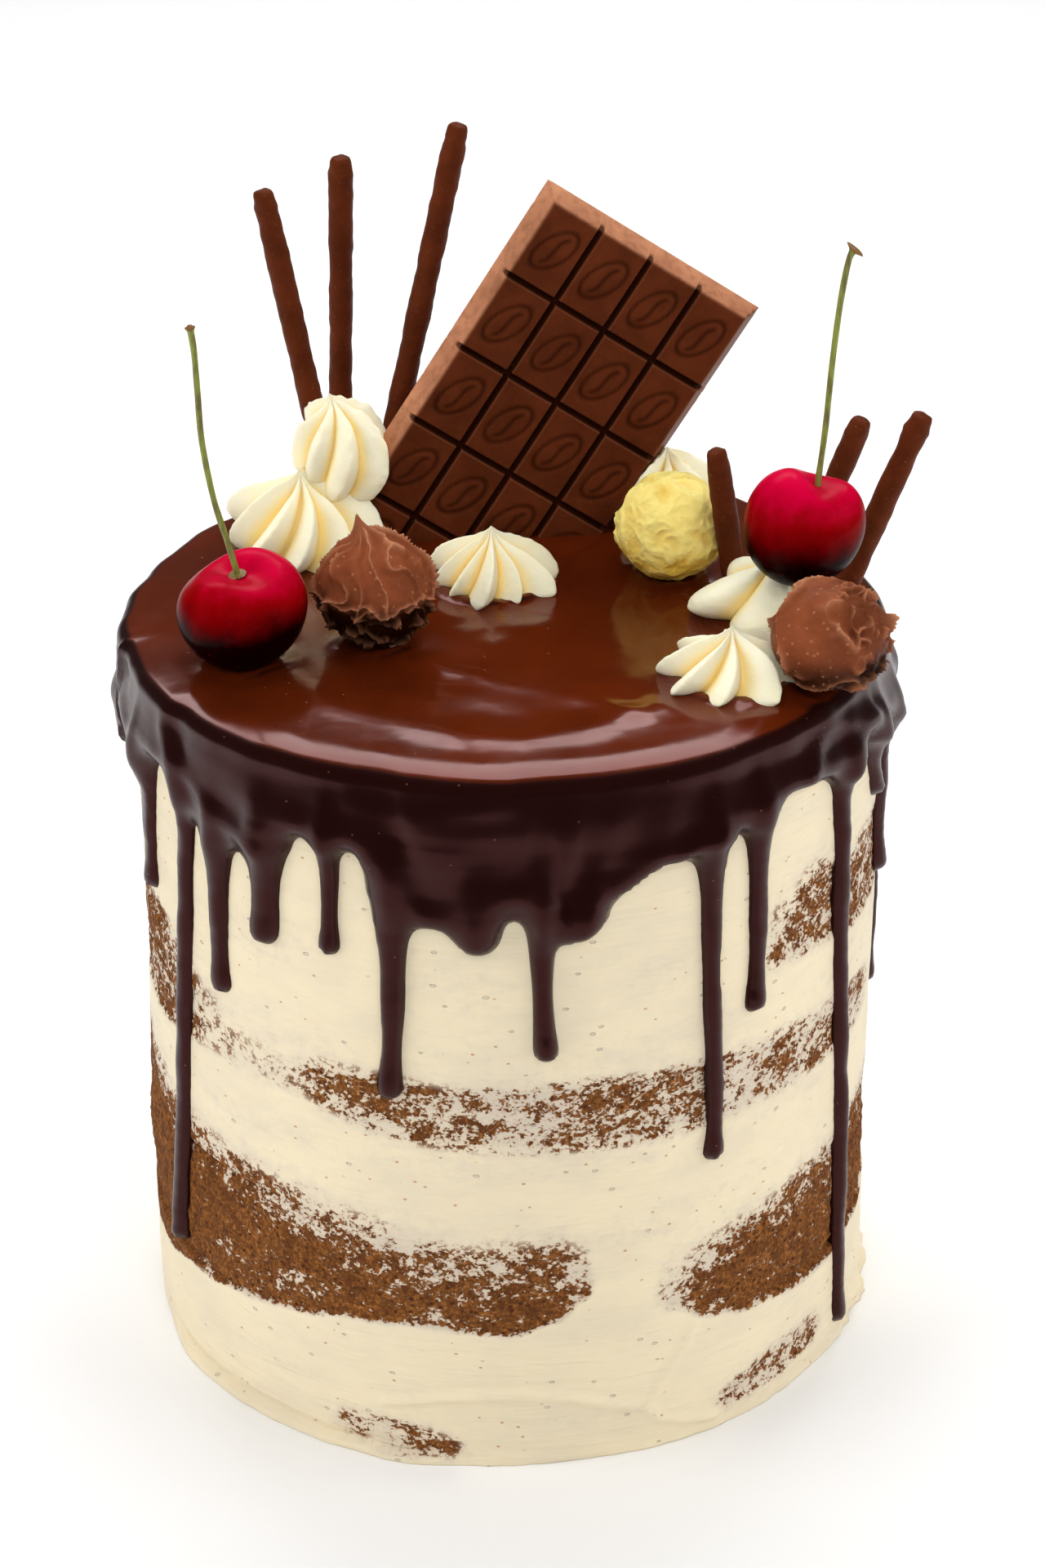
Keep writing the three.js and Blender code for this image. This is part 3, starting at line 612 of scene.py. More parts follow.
@cache
def crumb_patches():
    """Cream over sponge: colour, how bare the sponge is, and relief, from the bare value of a spot."""
    nodes, given, result = new_group(
        "Crumb patches", ("Cream", "Haze", "Crumb", "Dark crumb"), ("Bare",), ("Mask", "Height"))
    # Where the cream has torn: lace from coarse to fine, drawn out a little by the scraper
    lace = nodes.spots(0.075, 2, 0.5, (1, 1, 1.8))
    speckle = nodes.spots(0.32, 4, 0.66, (1, 1, 1.4))
    fleck = nodes.spots(1.1, 3, 0.62, (1, 1, 1.2))
    lifted = nodes.plus(nodes.centred(lace, 1.1), nodes.centred(speckle, 2.0))
    lifted = nodes.plus(lifted, nodes.centred(fleck, 1.7))
    edge = nodes.plus(given["Bare"], lifted)
    gate = nodes.ranged(given["Bare"], 0.24, 0.42)
    mask = nodes.times(nodes.ranged(edge, 0.48, 0.6), gate)
    film = nodes.times(nodes.ranged(edge, 0.26, 0.56), gate)
    # Sponge: a fine orange grain with darker patches and open pores
    grain = nodes.spots(1.2, 4, 0.7)
    patch = nodes.ranged(nodes.spots(0.28, 4, 0.66), 0.36, 0.6, 0.3, 1)
    light = nodes.times(nodes.ranged(grain, 0.36, 0.66, 0.2, 1), patch)
    tone = nodes.times(light, nodes.ranged(nodes.pores(0.5, (1, 1, 1.2)), 0.14, 0.32))
    sponge = nodes.mixed(tone, given["Dark crumb"], given["Crumb"])
    # Cream, greyer where it is thin, with crumbs and small pits dragged into it
    cloud = nodes.spots(0.05, 3, 0.6, (1, 1, 2.0))
    cream = nodes.mixed(nodes.ranged(cloud, 0.35, 0.7, 0, 0.2), given["Cream"], given["Haze"])
    spread = nodes.plus(given["Bare"], nodes.centred(speckle, 0.7))
    cream = nodes.mixed(nodes.ranged(spread, 0.06, 0.6, 0, 0.6), cream, given["Haze"])
    cream = nodes.mixed(nodes.times(film, 0.34), cream, given["Crumb"])
    sparse = nodes.ranged(nodes.spots(0.09, 2, 0.5), 0.44, 0.57)
    crumbs = nodes.times(nodes.ranged(nodes.pores(0.24, (1, 1, 1.6)), 0.12, 0.06), sparse)
    cream = nodes.mixed(nodes.times(crumbs, 0.75), cream, given["Crumb"])
    pit = nodes.ranged(nodes.pores(0.13, (1, 1, 2.0)), 0.095, 0.055)
    cream = nodes.mixed(nodes.times(pit, 0.42), cream, given["Haze"])
    # Relief: crumb where the sponge is bare, the scraper's strokes in the cream
    drag = nodes.spots(0.09, 2, 0.5, (1, 1, 8))
    strokes = nodes.maths("SUBTRACT", nodes.times(drag, 0.7), nodes.times(pit, 0.7))
    rough = nodes.times(nodes.plus(tone, nodes.times(grain, 0.6)), mask)
    height = nodes.plus(nodes.plus(rough, strokes), nodes.times(mask, -0.5))
    nodes.plug(result, {"Color": nodes.mixed(mask, cream, sponge), "Mask": mask, "Height": height})
    return nodes.tree


@cache
def cream_skin():
    """Whipped cream: a soft change of tone, painted shade of a warmer yellow in its folds, and fine pores."""
    nodes, given, result = new_group("Cream skin", ("Cream", "Shade"), ("Fold",), ("Height",))
    cloud = nodes.ranged(nodes.spots(0.16), 0.35, 0.75, 0, 0.16)
    skin = nodes.mixed(nodes.plus(cloud, given["Fold"]), given["Cream"], given["Shade"])
    height = nodes.plus(nodes.spots(1.6, 3, 0.6), nodes.spots(0.35, 2))
    nodes.plug(result, {"Color": skin, "Height": height})
    return nodes.tree


@cache
def chocolate_skin():
    """Set chocolate: cloudy tone, pale edges and crests partly painted sheen, painted shade in grooves,
    hollows and low down, scuffs and a fine surface.
    """
    nodes, given, result = new_group(
        "Chocolate skin", ("Chocolate", "Pale", "Deep"), ("Scuff", "Worn_and_sheen", "Painted_shade"), ("Roughness", "Height"))
    cloud = nodes.spots(0.12, 4, 0.6)
    shade = nodes.mixed(0.35, given["Chocolate"], given["Deep"])
    tone = nodes.mixed(nodes.ranged(cloud, 0.3, 0.7), shade, given["Chocolate"])
    # Painted shade: darker in grooves, hollows and low down
    tone = nodes.mixed(given["Painted_shade"], tone, given["Deep"])
    specks = nodes.ranged(nodes.spots(1.3, 3, 0.65), 0.62, 0.74)
    scuffed = nodes.times(nodes.times(specks, given["Scuff"]), 0.5)
    worn_and_sheen = nodes.times(given["Worn_and_sheen"], nodes.ranged(nodes.spots(0.5, 4, 0.6), 0.3, 0.6, 0.7, 1.0))
    # Pale edges and crests, partly painted sheen and highlight, and pale scuffs
    tone = nodes.mixed(nodes.maths("MAXIMUM", worn_and_sheen, scuffed), tone, given["Pale"])
    roughness = nodes.maths("MULTIPLY_ADD", cloud, 0.3, 0.26)
    height = nodes.plus(nodes.spots(1.9, 3, 0.6), nodes.spots(0.3, 2))
    nodes.plug(result, {"Color": tone, "Roughness": roughness, "Height": height})
    return nodes.tree


def new_material(name):
    """A material, its nodes and its Principled shader."""
    material = bpy.data.materials.new(name)
    material.use_nodes = True
    return material, Nodes(material.node_tree), material.node_tree.nodes["Principled BSDF"]


def soft(weight, reach):
    """Shader inputs for light that sinks in and spreads a reach in millimetres."""
    return {"Subsurface Weight": weight, "Subsurface Radius": WARM_SPREAD, "Subsurface Scale": reach * MM}


@cache
def patch_material():
    """Scraped cream over sponge, for the coat and the sponge layers."""
    material, nodes, shader = new_material("scraped_coat")
    surface = nodes.add("ShaderNodeGroup", {
        "Cream": tint("coat"), "Haze": tint("haze"), "Crumb": tint("crumb"),
        "Dark crumb": tint("crumb_dark"), "Bare": nodes.stored("bare")}, node_tree=crumb_patches())
    nodes.plug(shader, {
        "Base Color": surface["Color"], "Roughness": nodes.ranged(surface["Mask"], 0, 1, 0.5, 0.95),
        "Specular IOR Level": 0.15, "Normal": nodes.bump(surface["Height"], 0.5), **soft(0.12, 1.2)})
    return material


def whipped_material(name, colours, find_painted_shade, roughness, specular, weight, depth):
    """Cream or white chocolate, with painted shade of a deeper colour where the given function finds folds or
    hollows.
    """
    material, nodes, shader = new_material(name)
    surface = nodes.add("ShaderNodeGroup", {
        "Cream": tint(colours[0]), "Shade": tint(colours[1]),
        "Fold": find_painted_shade(nodes)}, node_tree=cream_skin())
    nodes.plug(shader, {
        "Base Color": surface["Color"], "Roughness": roughness, "Specular IOR Level": specular,
        "Normal": nodes.bump(surface["Height"], depth), **soft(weight, 1.6)})
    return material


@cache
def cream_material():
    def between_petals(nodes):
        # Painted shade down in the grooves between the petals
        return nodes.ranged(nodes.stored("fold"), 0.3, 1.0, 0, 0.85)

    return whipped_material("piped_cream", ("cream", "fold"), between_petals, 0.5, 0.25, 0.3, 0.08)


def white_chocolate_material():
    def in_hollows(nodes):
        # Painted shade: deeper yellow in the hollows and low down, lighter on the crests
        crest = nodes.times(nodes.stored("worn_and_sheen"), -0.6)
        return nodes.ranged(nodes.plus(nodes.stored("painted_shade"), crest), -0.3, 0.8, 0, 0.95)

    return whipped_material("white_chocolate", ("white", "white_shaded"), in_hollows, 0.42, 0.3, 0.25, 0.12)


def glaze_material():
    """Glaze with painted light, a lighter brown where it lies flat and faces up, glossier there too, with
    tiny bubbles caught in it.
    """
    material, nodes, shader = new_material("chocolate_glaze")
    flat = nodes.stored("flat")
    # Painted light: the up-facing top gets the lighter brown
    thin = nodes.times(flat, nodes.ranged(nodes.spots(0.03), 0.3, 0.7, 0.6, 1.0))
    base = nodes.mixed(thin, tint("glaze"), tint("glaze_lit_top"))
    speck = nodes.ranged(nodes.pores(0.22), 0.055, 0.03)
    base = nodes.mixed(nodes.times(speck, 0.3), base, GLAZE_SPECK)
    uneven = nodes.ranged(nodes.spots(0.09), 0.3, 0.7, 0.26, 0.33)
    height = nodes.plus(nodes.spots(0.12, 2, 0.5), nodes.times(speck, 0.4))
    nodes.plug(shader, {
        "Base Color": base, "Roughness": nodes.maths("SUBTRACT", uneven, nodes.times(flat, 0.155)),
        "Specular IOR Level": 0.4, "Specular Tint": GLAZE_GLOSS, "Normal": nodes.bump(height, 0.07)})
    return material


def chocolate_material(name, colour_name, scuff, depth, weight=0.0):
    material, nodes, shader = new_material(name)
    surface = nodes.add("ShaderNodeGroup", {
        "Chocolate": tint(colour_name), "Pale": tint("bloom_and_sheen"), "Deep": DARK_CHOCOLATE_AND_SHADE, "Scuff": scuff,
        "Worn_and_sheen": nodes.stored("worn_and_sheen"), "Painted_shade": nodes.stored("painted_shade")}, node_tree=chocolate_skin())
    nodes.plug(shader, {
        "Base Color": surface["Color"], "Roughness": surface["Roughness"], "Specular IOR Level": 0.05,
        "Specular Tint": CHOCOLATE_GLOSS, "Normal": nodes.bump(surface["Height"], depth),
        **soft(weight, 1.5)})
    return material


def cherry_material():
    """Mottled skin with painted light, a lit colour high up and painted shade low down, and fine pale flecks.
    """
    material, nodes, shader = new_material("cherry_skin")
    mottle = nodes.spots(0.11, 5, 0.62)
    fleck = nodes.spots(0.9, 2, 0.6)
    shade_and_mottle = nodes.plus(nodes.stored("lit_to_shaded"), nodes.centred(mottle, 0.6))
    # Painted light: the lit colour at the top, the fruit's red on its sides and painted shade low down
    skin = nodes.mixed(nodes.ranged(shade_and_mottle, 0.1, 0.55), tint("cherry"), tint("cherry_mid"))
    skin = nodes.mixed(nodes.ranged(shade_and_mottle, 0.3, 1.05), skin, tint("cherry_shaded"))
    skin = nodes.mixed(nodes.ranged(fleck, 0.62, 0.75, 0, 0.1), skin, CHERRY_FLECK)
    nodes.plug(shader, {
        "Base Color": skin, "Roughness": nodes.ranged(mottle, 0.3, 0.7, 0.24, 0.34),
        "Specular IOR Level": 0.02, "Coat Weight": 0.02, "Coat Roughness": 0.06,
        "Normal": nodes.bump(nodes.plus(mottle, nodes.times(fleck, 0.2)), 0.08)})
    return material


def stem_material():
    """A green stem with a long grain and woody ends."""
    material, nodes, shader = new_material("cherry_stem")
    grain = nodes.spots(0.7, 4, 0.65, (1, 1, 0.25))
    green = nodes.mixed(nodes.ranged(grain, 0.35, 0.7), tint("stem"), STEM_GRAIN)
    brown = nodes.plus(nodes.stored("woody"), nodes.centred(grain, 0.6))
    skin = nodes.mixed(nodes.ranged(brown, 0.3, 0.7), green, tint("stem_end"))
    nodes.plug(shader, {"Base Color": skin, "Roughness": 0.5, "Normal": nodes.bump(grain, 0.15)})
    return material


# Coat and sponge

@cache
def bare_spans(angle):
    """Bands that cross the wall at an angle: softness and height of both edges, and strength."""
    spans = []
    for soft_low, soft_high, stations in BARE_BANDS:
        for first, last in zip(stations, stations[1:]):
            here = apart(angle, first[0])
            if 0 <= here < last[0] - first[0]:
                part = smooth(here / (last[0] - first[0]))
                spans.append((soft_low, soft_high, *(mix(first[k], last[k], part) for k in (1, 2, 3))))
    return spans


def bare_at(angle, height):
    """How bare the sponge is at a spot on the wall: 0 is thick cream, 1 is sponge."""
    best = 0.0
    for soft_low, soft_high, low, high, strength in bare_spans(round(angle / BARE_STEP) * BARE_STEP):
        over_low = smooth(0.5 + (height - low) / (2 * soft_low))
        under_high = smooth(0.5 + (high - height) / (2 * soft_high))
        best = max(best, strength * over_low * under_high)
    spot = around(angle, COAT_RADIUS, height)
    for middle, spread, strength in HAZE_BANDS:
        if abs(height - middle) < 2 * spread:
            cloud = 0.6 + 0.8 * waves((spot.x, spot.y, spot.z * 2), 22, middle)
            best = max(best, strength * bell(height - middle, spread) * clamp(cloud))
    return best


def coat_radius(angle, height):
    """Outer radius of the cream on the wall."""
    spot = around(angle, COAT_RADIUS, height)
    scraped = (spot.x / 30, spot.y / 30, spot.z / 1.7)
    radius = COAT_RADIUS - 0.1 + relief(spot, (0.42, 34, 0), (0.2, 12, 1))
    radius += sizes("scrape") * waves(scraped, 1, 2)
    for out, side, spread, level, rise in WALL_SWELLS:
        radius += out * bell(apart(angle, side), spread) * bell(height - level, rise)
    return radius


def foot_ledge(angle, height):
    """Cream pushed out at the foot and along the scraper's ledges."""
    spot = around(angle, COAT_RADIUS, height)
    top = LIP_HEIGHT + 0.5 * waves(spot, 6, 7)
    present = window(angle, *LIP, LIP_FADE)
    out = LIP_OUT * present * smooth((top - height) / 0.3) * (0.9 + 0.25 * waves(spot, 9, 6))
    out -= 0.9 * present * bell(height - top - 0.7, 0.55)
    crumbly = clamp(0.35 + 1.4 * waves(spot, 3.5, 4))
    out += LUMPS_OUT * bell(apart(angle, LUMPS), 15) * smooth((9 - height) / 4) * crumbly
    out += 0.3 * smooth((1.6 - height) / 1.2) * waves(spot, 4, 5)
    if height < LEDGE_TOP and abs(angle) < LEDGE_REACH:
        for rise, width, course in LEDGES:
            out += rise * bell(from_path(arc(angle), height, course), width)
    return out


def coat_wall(angle, height):
    """Outer radius of the coat with its foot, set in where the sponge is bare."""
    bare = smooth((bare_at(angle, height) - 0.36) / 0.4)
    over_sponge = max(window(height, low, high, 1.5) for low, high in SPONGE_SPANS)
    return coat_radius(angle, height) + foot_ledge(angle, height) - BARE_DIP * bare * over_sponge


def bareness(bm):
    """How bare the sponge is at each point of a mesh."""
    spots = [polar(vert.co) for vert in bm.verts]
    return [bare_at(angle, height) for angle, _, height in spots]


class CAKE_OT_coat(bpy.types.Operator):
    """Spin the scraped cream coat"""
    bl_idname = "cake.coat"
    bl_label = "Cream coat"

    def execute(self, context):
        inner = COAT_RADIUS - COAT_THICKNESS
        foot_rows = int((FOOT_HEIGHT - COAT_BOTTOM) / FOOT_ROW)
        heights = [COAT_BOTTOM + FOOT_ROW * row for row in range(foot_rows)]
        shares = [(row / COAT_ROWS) ** COAT_CROWDING for row in range(COAT_ROWS + 1)]
        heights += [mix(FOOT_HEIGHT, COAT_TOP, share) for share in shares]
        outside = [(COAT_RADIUS, height) for height in heights]
        inside = [(inner, mix(COAT_TOP, COAT_BOTTOM, step / 12)) for step in range(13)]
        bm = spun(outside + inside, COAT_COLUMNS, closed=True)

        def place(angle, radius, height):
            wide = coat_wall(angle, height) if radius > inner + 0.1 else radius
            return around(angle, wide, height)

        reshape(bm, place)
        values = {"bare": bareness(bm)}
        add_piece("scraped_coat", bm, patch_material(), "coat", "cream_coat", values=values)
        return {"FINISHED"}


class CAKE_OT_layers(bpy.types.Operator):
    """Turn the sponge layers and finish the cream layers"""
    bl_idname = "cake.layers"
    bl_label = "Layers"

    def execute(self, context):
        for name, span in zip(SPONGES, SPONGE_SPANS):
            bm = self.make_sponge(*span)
            values = {"bare": bareness(bm)}
            add_piece(name + "_crumb", bm, patch_material(), "sponge", name, values=values)
        for name in CREAM_LAYERS:
            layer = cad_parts[name]
            layer.data.materials.clear()
            layer.data.materials.append(cream_material())
        return {"FINISHED"}

    def make_sponge(self, low, high):
        """A disc with a crumbly wall and softly rounded edges."""
        rows = round((high - low) / SPONGE_ROW)
        plain = COAT_RADIUS - 6
        wall = [(SPONGE_RADIUS, mix(low, high, row / rows)) for row in range(rows + 1)]
        bm = spun([(0, low), (plain, low)] + wall + [(plain, high), (0, high)], COAT_COLUMNS)

        def place(angle, radius, height):
            if radius > SPONGE_RADIUS - 1:
                spot = around(angle, COAT_RADIUS, height)
                rounded = bell(height - low, SPONGE_ROUNDING) + bell(height - high, SPONGE_ROUNDING)
                radius = coat_radius(angle, height) - COAT_RADIUS + SPONGE_RADIUS
                radius += sizes("crumb") * relief(spot, (1, 1.9, 7), (0.6, 4.5, 8))
                radius -= SPONGE_ROUNDING * rounded
            return around(angle, radius, height)

        reshape(bm, place)
        return bm


# Glaze

def arch_height(angle):
    """Height of the glaze's lower edge without its drips."""
    angle = apart(angle, 0)
    first, last = ALL_CROWNS[0], ALL_CROWNS[-1]
    ring = [(last[0] - 360, last[1])] + ALL_CROWNS + [(first[0] + 360, first[1])]
    for first, last in zip(ring, ring[1:]):
        if first[0] <= angle <= last[0]:
            return mix(first[1], last[1], smooth((angle - first[0]) / (last[0] - first[0])))
    return ring[0][1]


def all_drips():
    """Every drip as named values, with the height of its root."""
    rows = list(SEEN_DRIPS)
    for i in range(HIDDEN_DRIPS):
        angle = HIDDEN_FROM + i * SPACING + (draw(i, 1) - 0.5) * SPACING * 0.45
        tip_angle = angle + (draw(i, 5) - 0.5) * 4
        tip = mix(124, 46, draw(i, 2) ** 1.7)
        rows.append((angle, tip_angle, tip, mix(3.8, 5.6, draw(i, 3)), mix(5, 12, draw(i, 4))))
    names = ("angle", "tip_angle", "tip", "width", "pull")
    drips = [dict(zip(names, row)) for row in rows]
    for drip in drips:
        drip["root"] = max(arch_height(drip["angle"]), drip["tip"] + 4)
    return drips


# Arches all round in order of angle, their heights at every quarter of a degree, all the drips,
# and those near each sector of so many degrees
SPACING = (HIDDEN_TO - HIDDEN_FROM) / (HIDDEN_DRIPS - 1)
HIDDEN_CROWNS = [(HIDDEN_FROM + (i - 0.5) * SPACING, HIDDEN_CROWN + 5 * (draw(i, 6) - 0.5))
                 for i in range(HIDDEN_DRIPS + 1)]
ALL_CROWNS = sorted((apart(angle, 0), height) for angle, height in CROWNS + HIDDEN_CROWNS)
ARCHES = [arch_height(step / 4 - 180) for step in range(1441)]
DRIPS = all_drips()
SECTOR = 5
NEAR = [[drip for drip in DRIPS
         if abs(apart(SECTOR * (k + 0.5) - 180, (drip["angle"] + drip["tip_angle"]) / 2)) < 17]
        for k in range(360 // SECTOR)]


def near_drips(angle):
    return NEAR[int((angle + 180) // SECTOR) % len(NEAR)]


def drip_centre(drip, height):
    """Angle of a drip's middle line at a height."""
    rise = clamp((height - drip["tip"]) / (drip["root"] - drip["tip"]))
    wander = 0.35 * math.sin(height * 0.11 + drip["angle"]) * (1 - rise)
    return mix(drip["tip_angle"], drip["angle"], rise) + wander


def drip_half(drip, height):
    """Half of a drip's width at a height: a round bulb, a slimmer neck, a spreading root."""
    half = drip["width"] / 2
    above = height - drip["tip"]
    bulb = TIP_SWELL * bell(above - 1.1 * half, 1.6 * half)
    neck = NECK_SLIM * bell(above - 5 * half, 3 * half)
    wobble = WOBBLE * math.sin(height * 0.37 + drip["angle"] * 3)
    fall = math.exp(min(0, (height - drip["root"]) / (0.7 * drip["pull"])))
    return half * (0.95 + bulb - neck + wobble) + ROOT_SPREAD * drip["pull"] * fall


def drip_distance(drip, angle, height):
    """Distance into a drip from its outline, rounded off towards its middle line."""
    half = drip_half(drip, height)
    across = arc(apart(angle, drip_centre(drip, height)))
    below = drip["tip"] + half - height
    reach = math.hypot(across, below) if below > 0 else abs(across)
    return half - reach if reach > half else half / 2 * (1 - (reach / half) ** 2)


def glaze_distance(angle, height):
    """Distance into the glaze from its outline on the wall, below zero outside it."""
    place = ((angle + 180) % 360) * 4
    index = min(int(place), len(ARCHES) - 2)
    step = ARCHES[index + 1] - ARCHES[index]
    edge = ARCHES[index] + step * (place - index)
    distance = (height - edge) / math.hypot(1, step / arc(0.25))
    for drip in near_drips(angle):
        distance = smooth_max(distance, drip_distance(drip, angle, height), MERGE)
    return distance


def drip_relief(drip, angle, height):
    """A drip's fuller tip and the swell where it leaves the skirt."""
    across = arc(apart(angle, drip_centre(drip, height)))
    half = drip["width"] / 2
    tip = bell(height - drip["tip"] - 1.2 * half, 1.6 * half)
    root = smooth((height - drip["root"] + 9) / 9) * smooth((drip["root"] + 15 - height) / 13)
    return 0.45 * tip * bell(across, half) + 1.15 * root * bell(across, 1.2 * half)


def glaze_thickness(angle, height, distance):
    """How far the glaze stands off the wall."""
    depth = clamp(distance, 0, BEAD)
    bead = BEAD_FULLNESS * math.sqrt(depth * (2 * BEAD - depth))
    spot = around(angle, COAT_RADIUS, height)
    # Runs and folds, calmer at the front and at the far right
    lively = mix(0.42, 1.0, smooth((abs(angle + 2) - 20) / 35)) * (1 - 0.6 * bell(angle - 88, 14))
    runs = 0.85 * waves((spot.x, spot.y, spot.z / 3), 10, 9)
    folds = 0.75 * waves((spot.x / 2.2, spot.y / 2.2, spot.z + 0.25 * spot.x), 9, 20)
    inner = lively * (runs + folds + 0.15 * waves(spot, 5, 10))
    # It swells out below the rim and thins again further down
    inner += 1.2 * smooth((151 - height) / 9) - 0.7 - 0.5 * smooth((138 - height) / 14)
    for rise, width, course in FOLDS:
        if course[0][0] - FOLD_REACH < arc(angle) < course[-1][0] + FOLD_REACH:
            inner += rise * bell(from_path(arc(angle), height, course), width)
    inner += sum(drip_relief(drip, angle, height) for drip in near_drips(angle))
    # A thicker rim along the outline with a dip behind it
    rim = 0.7 * bell(distance - 3.3, 2.4) - 0.5 * bell(distance - 10, 4.5)
    return bead + rim + smooth(distance / 2) * inner


def drip_columns(height):
    """Angles of the mesh's columns at a height, closer together over the drips."""
    angles = np.linspace(-180, 180, 1441)
    density = np.ones_like(angles)
    for drip in DRIPS:
        away = (angles - drip_centre(drip, height) + 180) % 360 - 180
        density += 2.4 * np.exp(-((away / 2.4) ** 2))
    total = np.concatenate([[0], np.cumsum((density[1:] + density[:-1]) / 2)])
    share = np.arange(GLAZE_COLUMNS) / GLAZE_COLUMNS * total[-1]
    return np.interp(share, total, angles)


def glaze_ripple(x, y):
    """Height of the glaze's top over its plain level: long strokes round the cake and a soft rim."""
    away = math.hypot(x, y)
    turn = math.atan2(x, -y)
    calm = smooth((COAT_RADIUS - 6 - away) / 10) * smooth(away / 12)
    stroke = waves((away / 7, 1.8 * math.cos(turn), 1.8 * math.sin(turn)), 1, 11)
    level = sizes("ripple") * calm * (0.7 * stroke + 0.5 * waves((x, y, 0), 16, 12))
    for height, width, path in STROKES:
        level += height * bell(from_path(x, y, path), width) * (0.95 + 0.3 * waves((x, y, 0), 25, 14))
    level += 0.22 * bell(away - 68, 4) * (0.2 + waves((x, y, 0), 22, 13))
    for foot_x, foot_y, radius in FEET:
        level += CREEP * bell(math.hypot(x - foot_x, y - foot_y) - radius, CREEP_WIDTH)
    return level


def rim_profile():
    """The glaze's outline over the top and down the wall, before its drips are cut."""
    flat = COAT_RADIUS - RIM_REACH
    rings = [(flat * ring / TOP_RINGS, GLAZE_TOP) for ring in range(TOP_RINGS)]
    rim = []
    for step in range(RIM_STEPS):
        part = step / RIM_STEPS
        rim.append((flat + (RIM_REACH - RIM_TURN) * part, GLAZE_TOP - RIM_FALL * part ** 2))
    steep = math.atan(2 * RIM_FALL / (RIM_REACH - RIM_TURN))
    for step in range(RIM_STEPS):
        turn = mix(steep, math.pi / 2, step / RIM_STEPS)
        out = (math.sin(turn) - math.sin(steep)) / (1 - math.sin(steep))
        down = (RIM_DROP - RIM_FALL) * (1 - math.cos(turn) / math.cos(steep))
        rim.append((COAT_RADIUS - RIM_TURN * (1 - out), GLAZE_TOP - RIM_FALL - down))
    rows = round((SHOULDER - GLAZE_FOOT) / GLAZE_ROW)
    wall = [(COAT_RADIUS, mix(SHOULDER, GLAZE_FOOT, row / rows)) for row in range(rows + 1)]
    return rings + rim + wall


def snap_to_edge(angle, height):
    """Moves a spot on the wall onto the glaze's outline."""
    step = 0.12
    for _ in range(3):
        distance = glaze_distance(angle, height)
        side = (glaze_distance(angle + step / arc(1), height) - distance) / step
        rise = (glaze_distance(angle, height + step) - distance) / step
        slope = max(side * side + rise * rise, 0.2)
        angle -= clamp(distance * side / slope, -0.5, 0.5) / arc(1)
        height -= clamp(distance * rise / slope, -0.6, 0.6)
    return angle, height


def glaze_spot(angle, radius, height, inner=False):
    """A point of the glaze's outer or inner surface, from its place on the plain outline."""
    level = min(height, SHOULDER)
    wall = coat_radius(angle, level)
    wide = wall - INNER_GAP
    if not inner:
        wide = wall + glaze_thickness(angle, level, glaze_distance(angle, level))
    if radius > COAT_RADIUS - 0.01 and height < SHOULDER + 0.01:
        return around(angle, wide, height)
    spot = around(angle, radius * wide / COAT_RADIUS, height)
    rise = -INNER_DROP if inner else glaze_ripple(spot.x, spot.y)
    spot.z += rise * smooth((height - SHOULDER) / RIM_DROP)
    return spot


class CAKE_OT_glaze(bpy.types.Operator):
    """Pour the glaze: spin its outline, cut the drips out and round them"""
    bl_idname = "cake.glaze"
    bl_label = "Glaze"

    def execute(self, context):
        bm = spun(rim_profile(), GLAZE_COLUMNS)
        spots, distances = self.spread_columns(bm)
        index = bm.verts.layers.int["spot"]
        outside = [face for face in bm.faces if sum(distances[vert[index]] for vert in face.verts) < 0]
        bmesh.ops.delete(bm, geom=outside, context="FACES")
        for vert in bm.verts:
            if vert.is_boundary:
                angle, radius, height = spots[vert[index]]
                angle, height = snap_to_edge(angle, height)
                spots[vert[index]] = (angle, radius, height)
        outer = list(bm.verts)
        shell = bmesh.ops.extrude_face_region(bm, geom=list(bm.faces))["geom"]
        for vert in outer:
            vert.co = glaze_spot(*spots[vert[index]])
        for vert in only_verts(shell):
            vert.co = glaze_spot(*spots[vert[index]], inner=True)
        bmesh.ops.recalc_face_normals(bm, faces=bm.faces)
        bm.normal_update()
        # How much each point faces up, which sets the glaze's painted light
        flat = [smooth((vert.normal.z - 0.89) / 0.08) for vert in bm.verts]
        add_piece("chocolate_glaze", bm, glaze_material(), "glaze", "glaze", values={"flat": flat})
        return {"FINISHED"}

    def spread_columns(self, bm):
        """Each point's place with its column moved towards the drips, and its distance into the glaze."""
        columns = {}
        spots = []
        distances = []
        index = bm.verts.layers.int.new("spot")
        for number, vert in enumerate(bm.verts):
            turned, radius, height = polar(vert.co)
            level = round(min(height, SHOULDER), 3)
            if level not in columns:
                columns[level] = drip_columns(level)
            column = round(turned / 360 * GLAZE_COLUMNS + GLAZE_COLUMNS / 2)
            angle = float(columns[level][column % GLAZE_COLUMNS])
            on_wall = radius > COAT_RADIUS - 0.01 and height < SHOULDER - 0.01
            distances.append(glaze_distance(angle, height) if on_wall else BEAD)
            spots.append((angle, radius, height))
            vert[index] = number
        return spots, distances


# Rosettes

def petal_ridge(angle, petals, roundness):
    """1 on a petal's crest, falling to 0 in the grooves beside it."""
    across = (angle * petals / 360) % 1 * 2 - 1
    if across > PETAL_SKEW:
        away = (across - PETAL_SKEW) / (1 - PETAL_SKEW)
    else:
        away = (PETAL_SKEW - across) / (1 + PETAL_SKEW)
    return 1 - away ** roundness


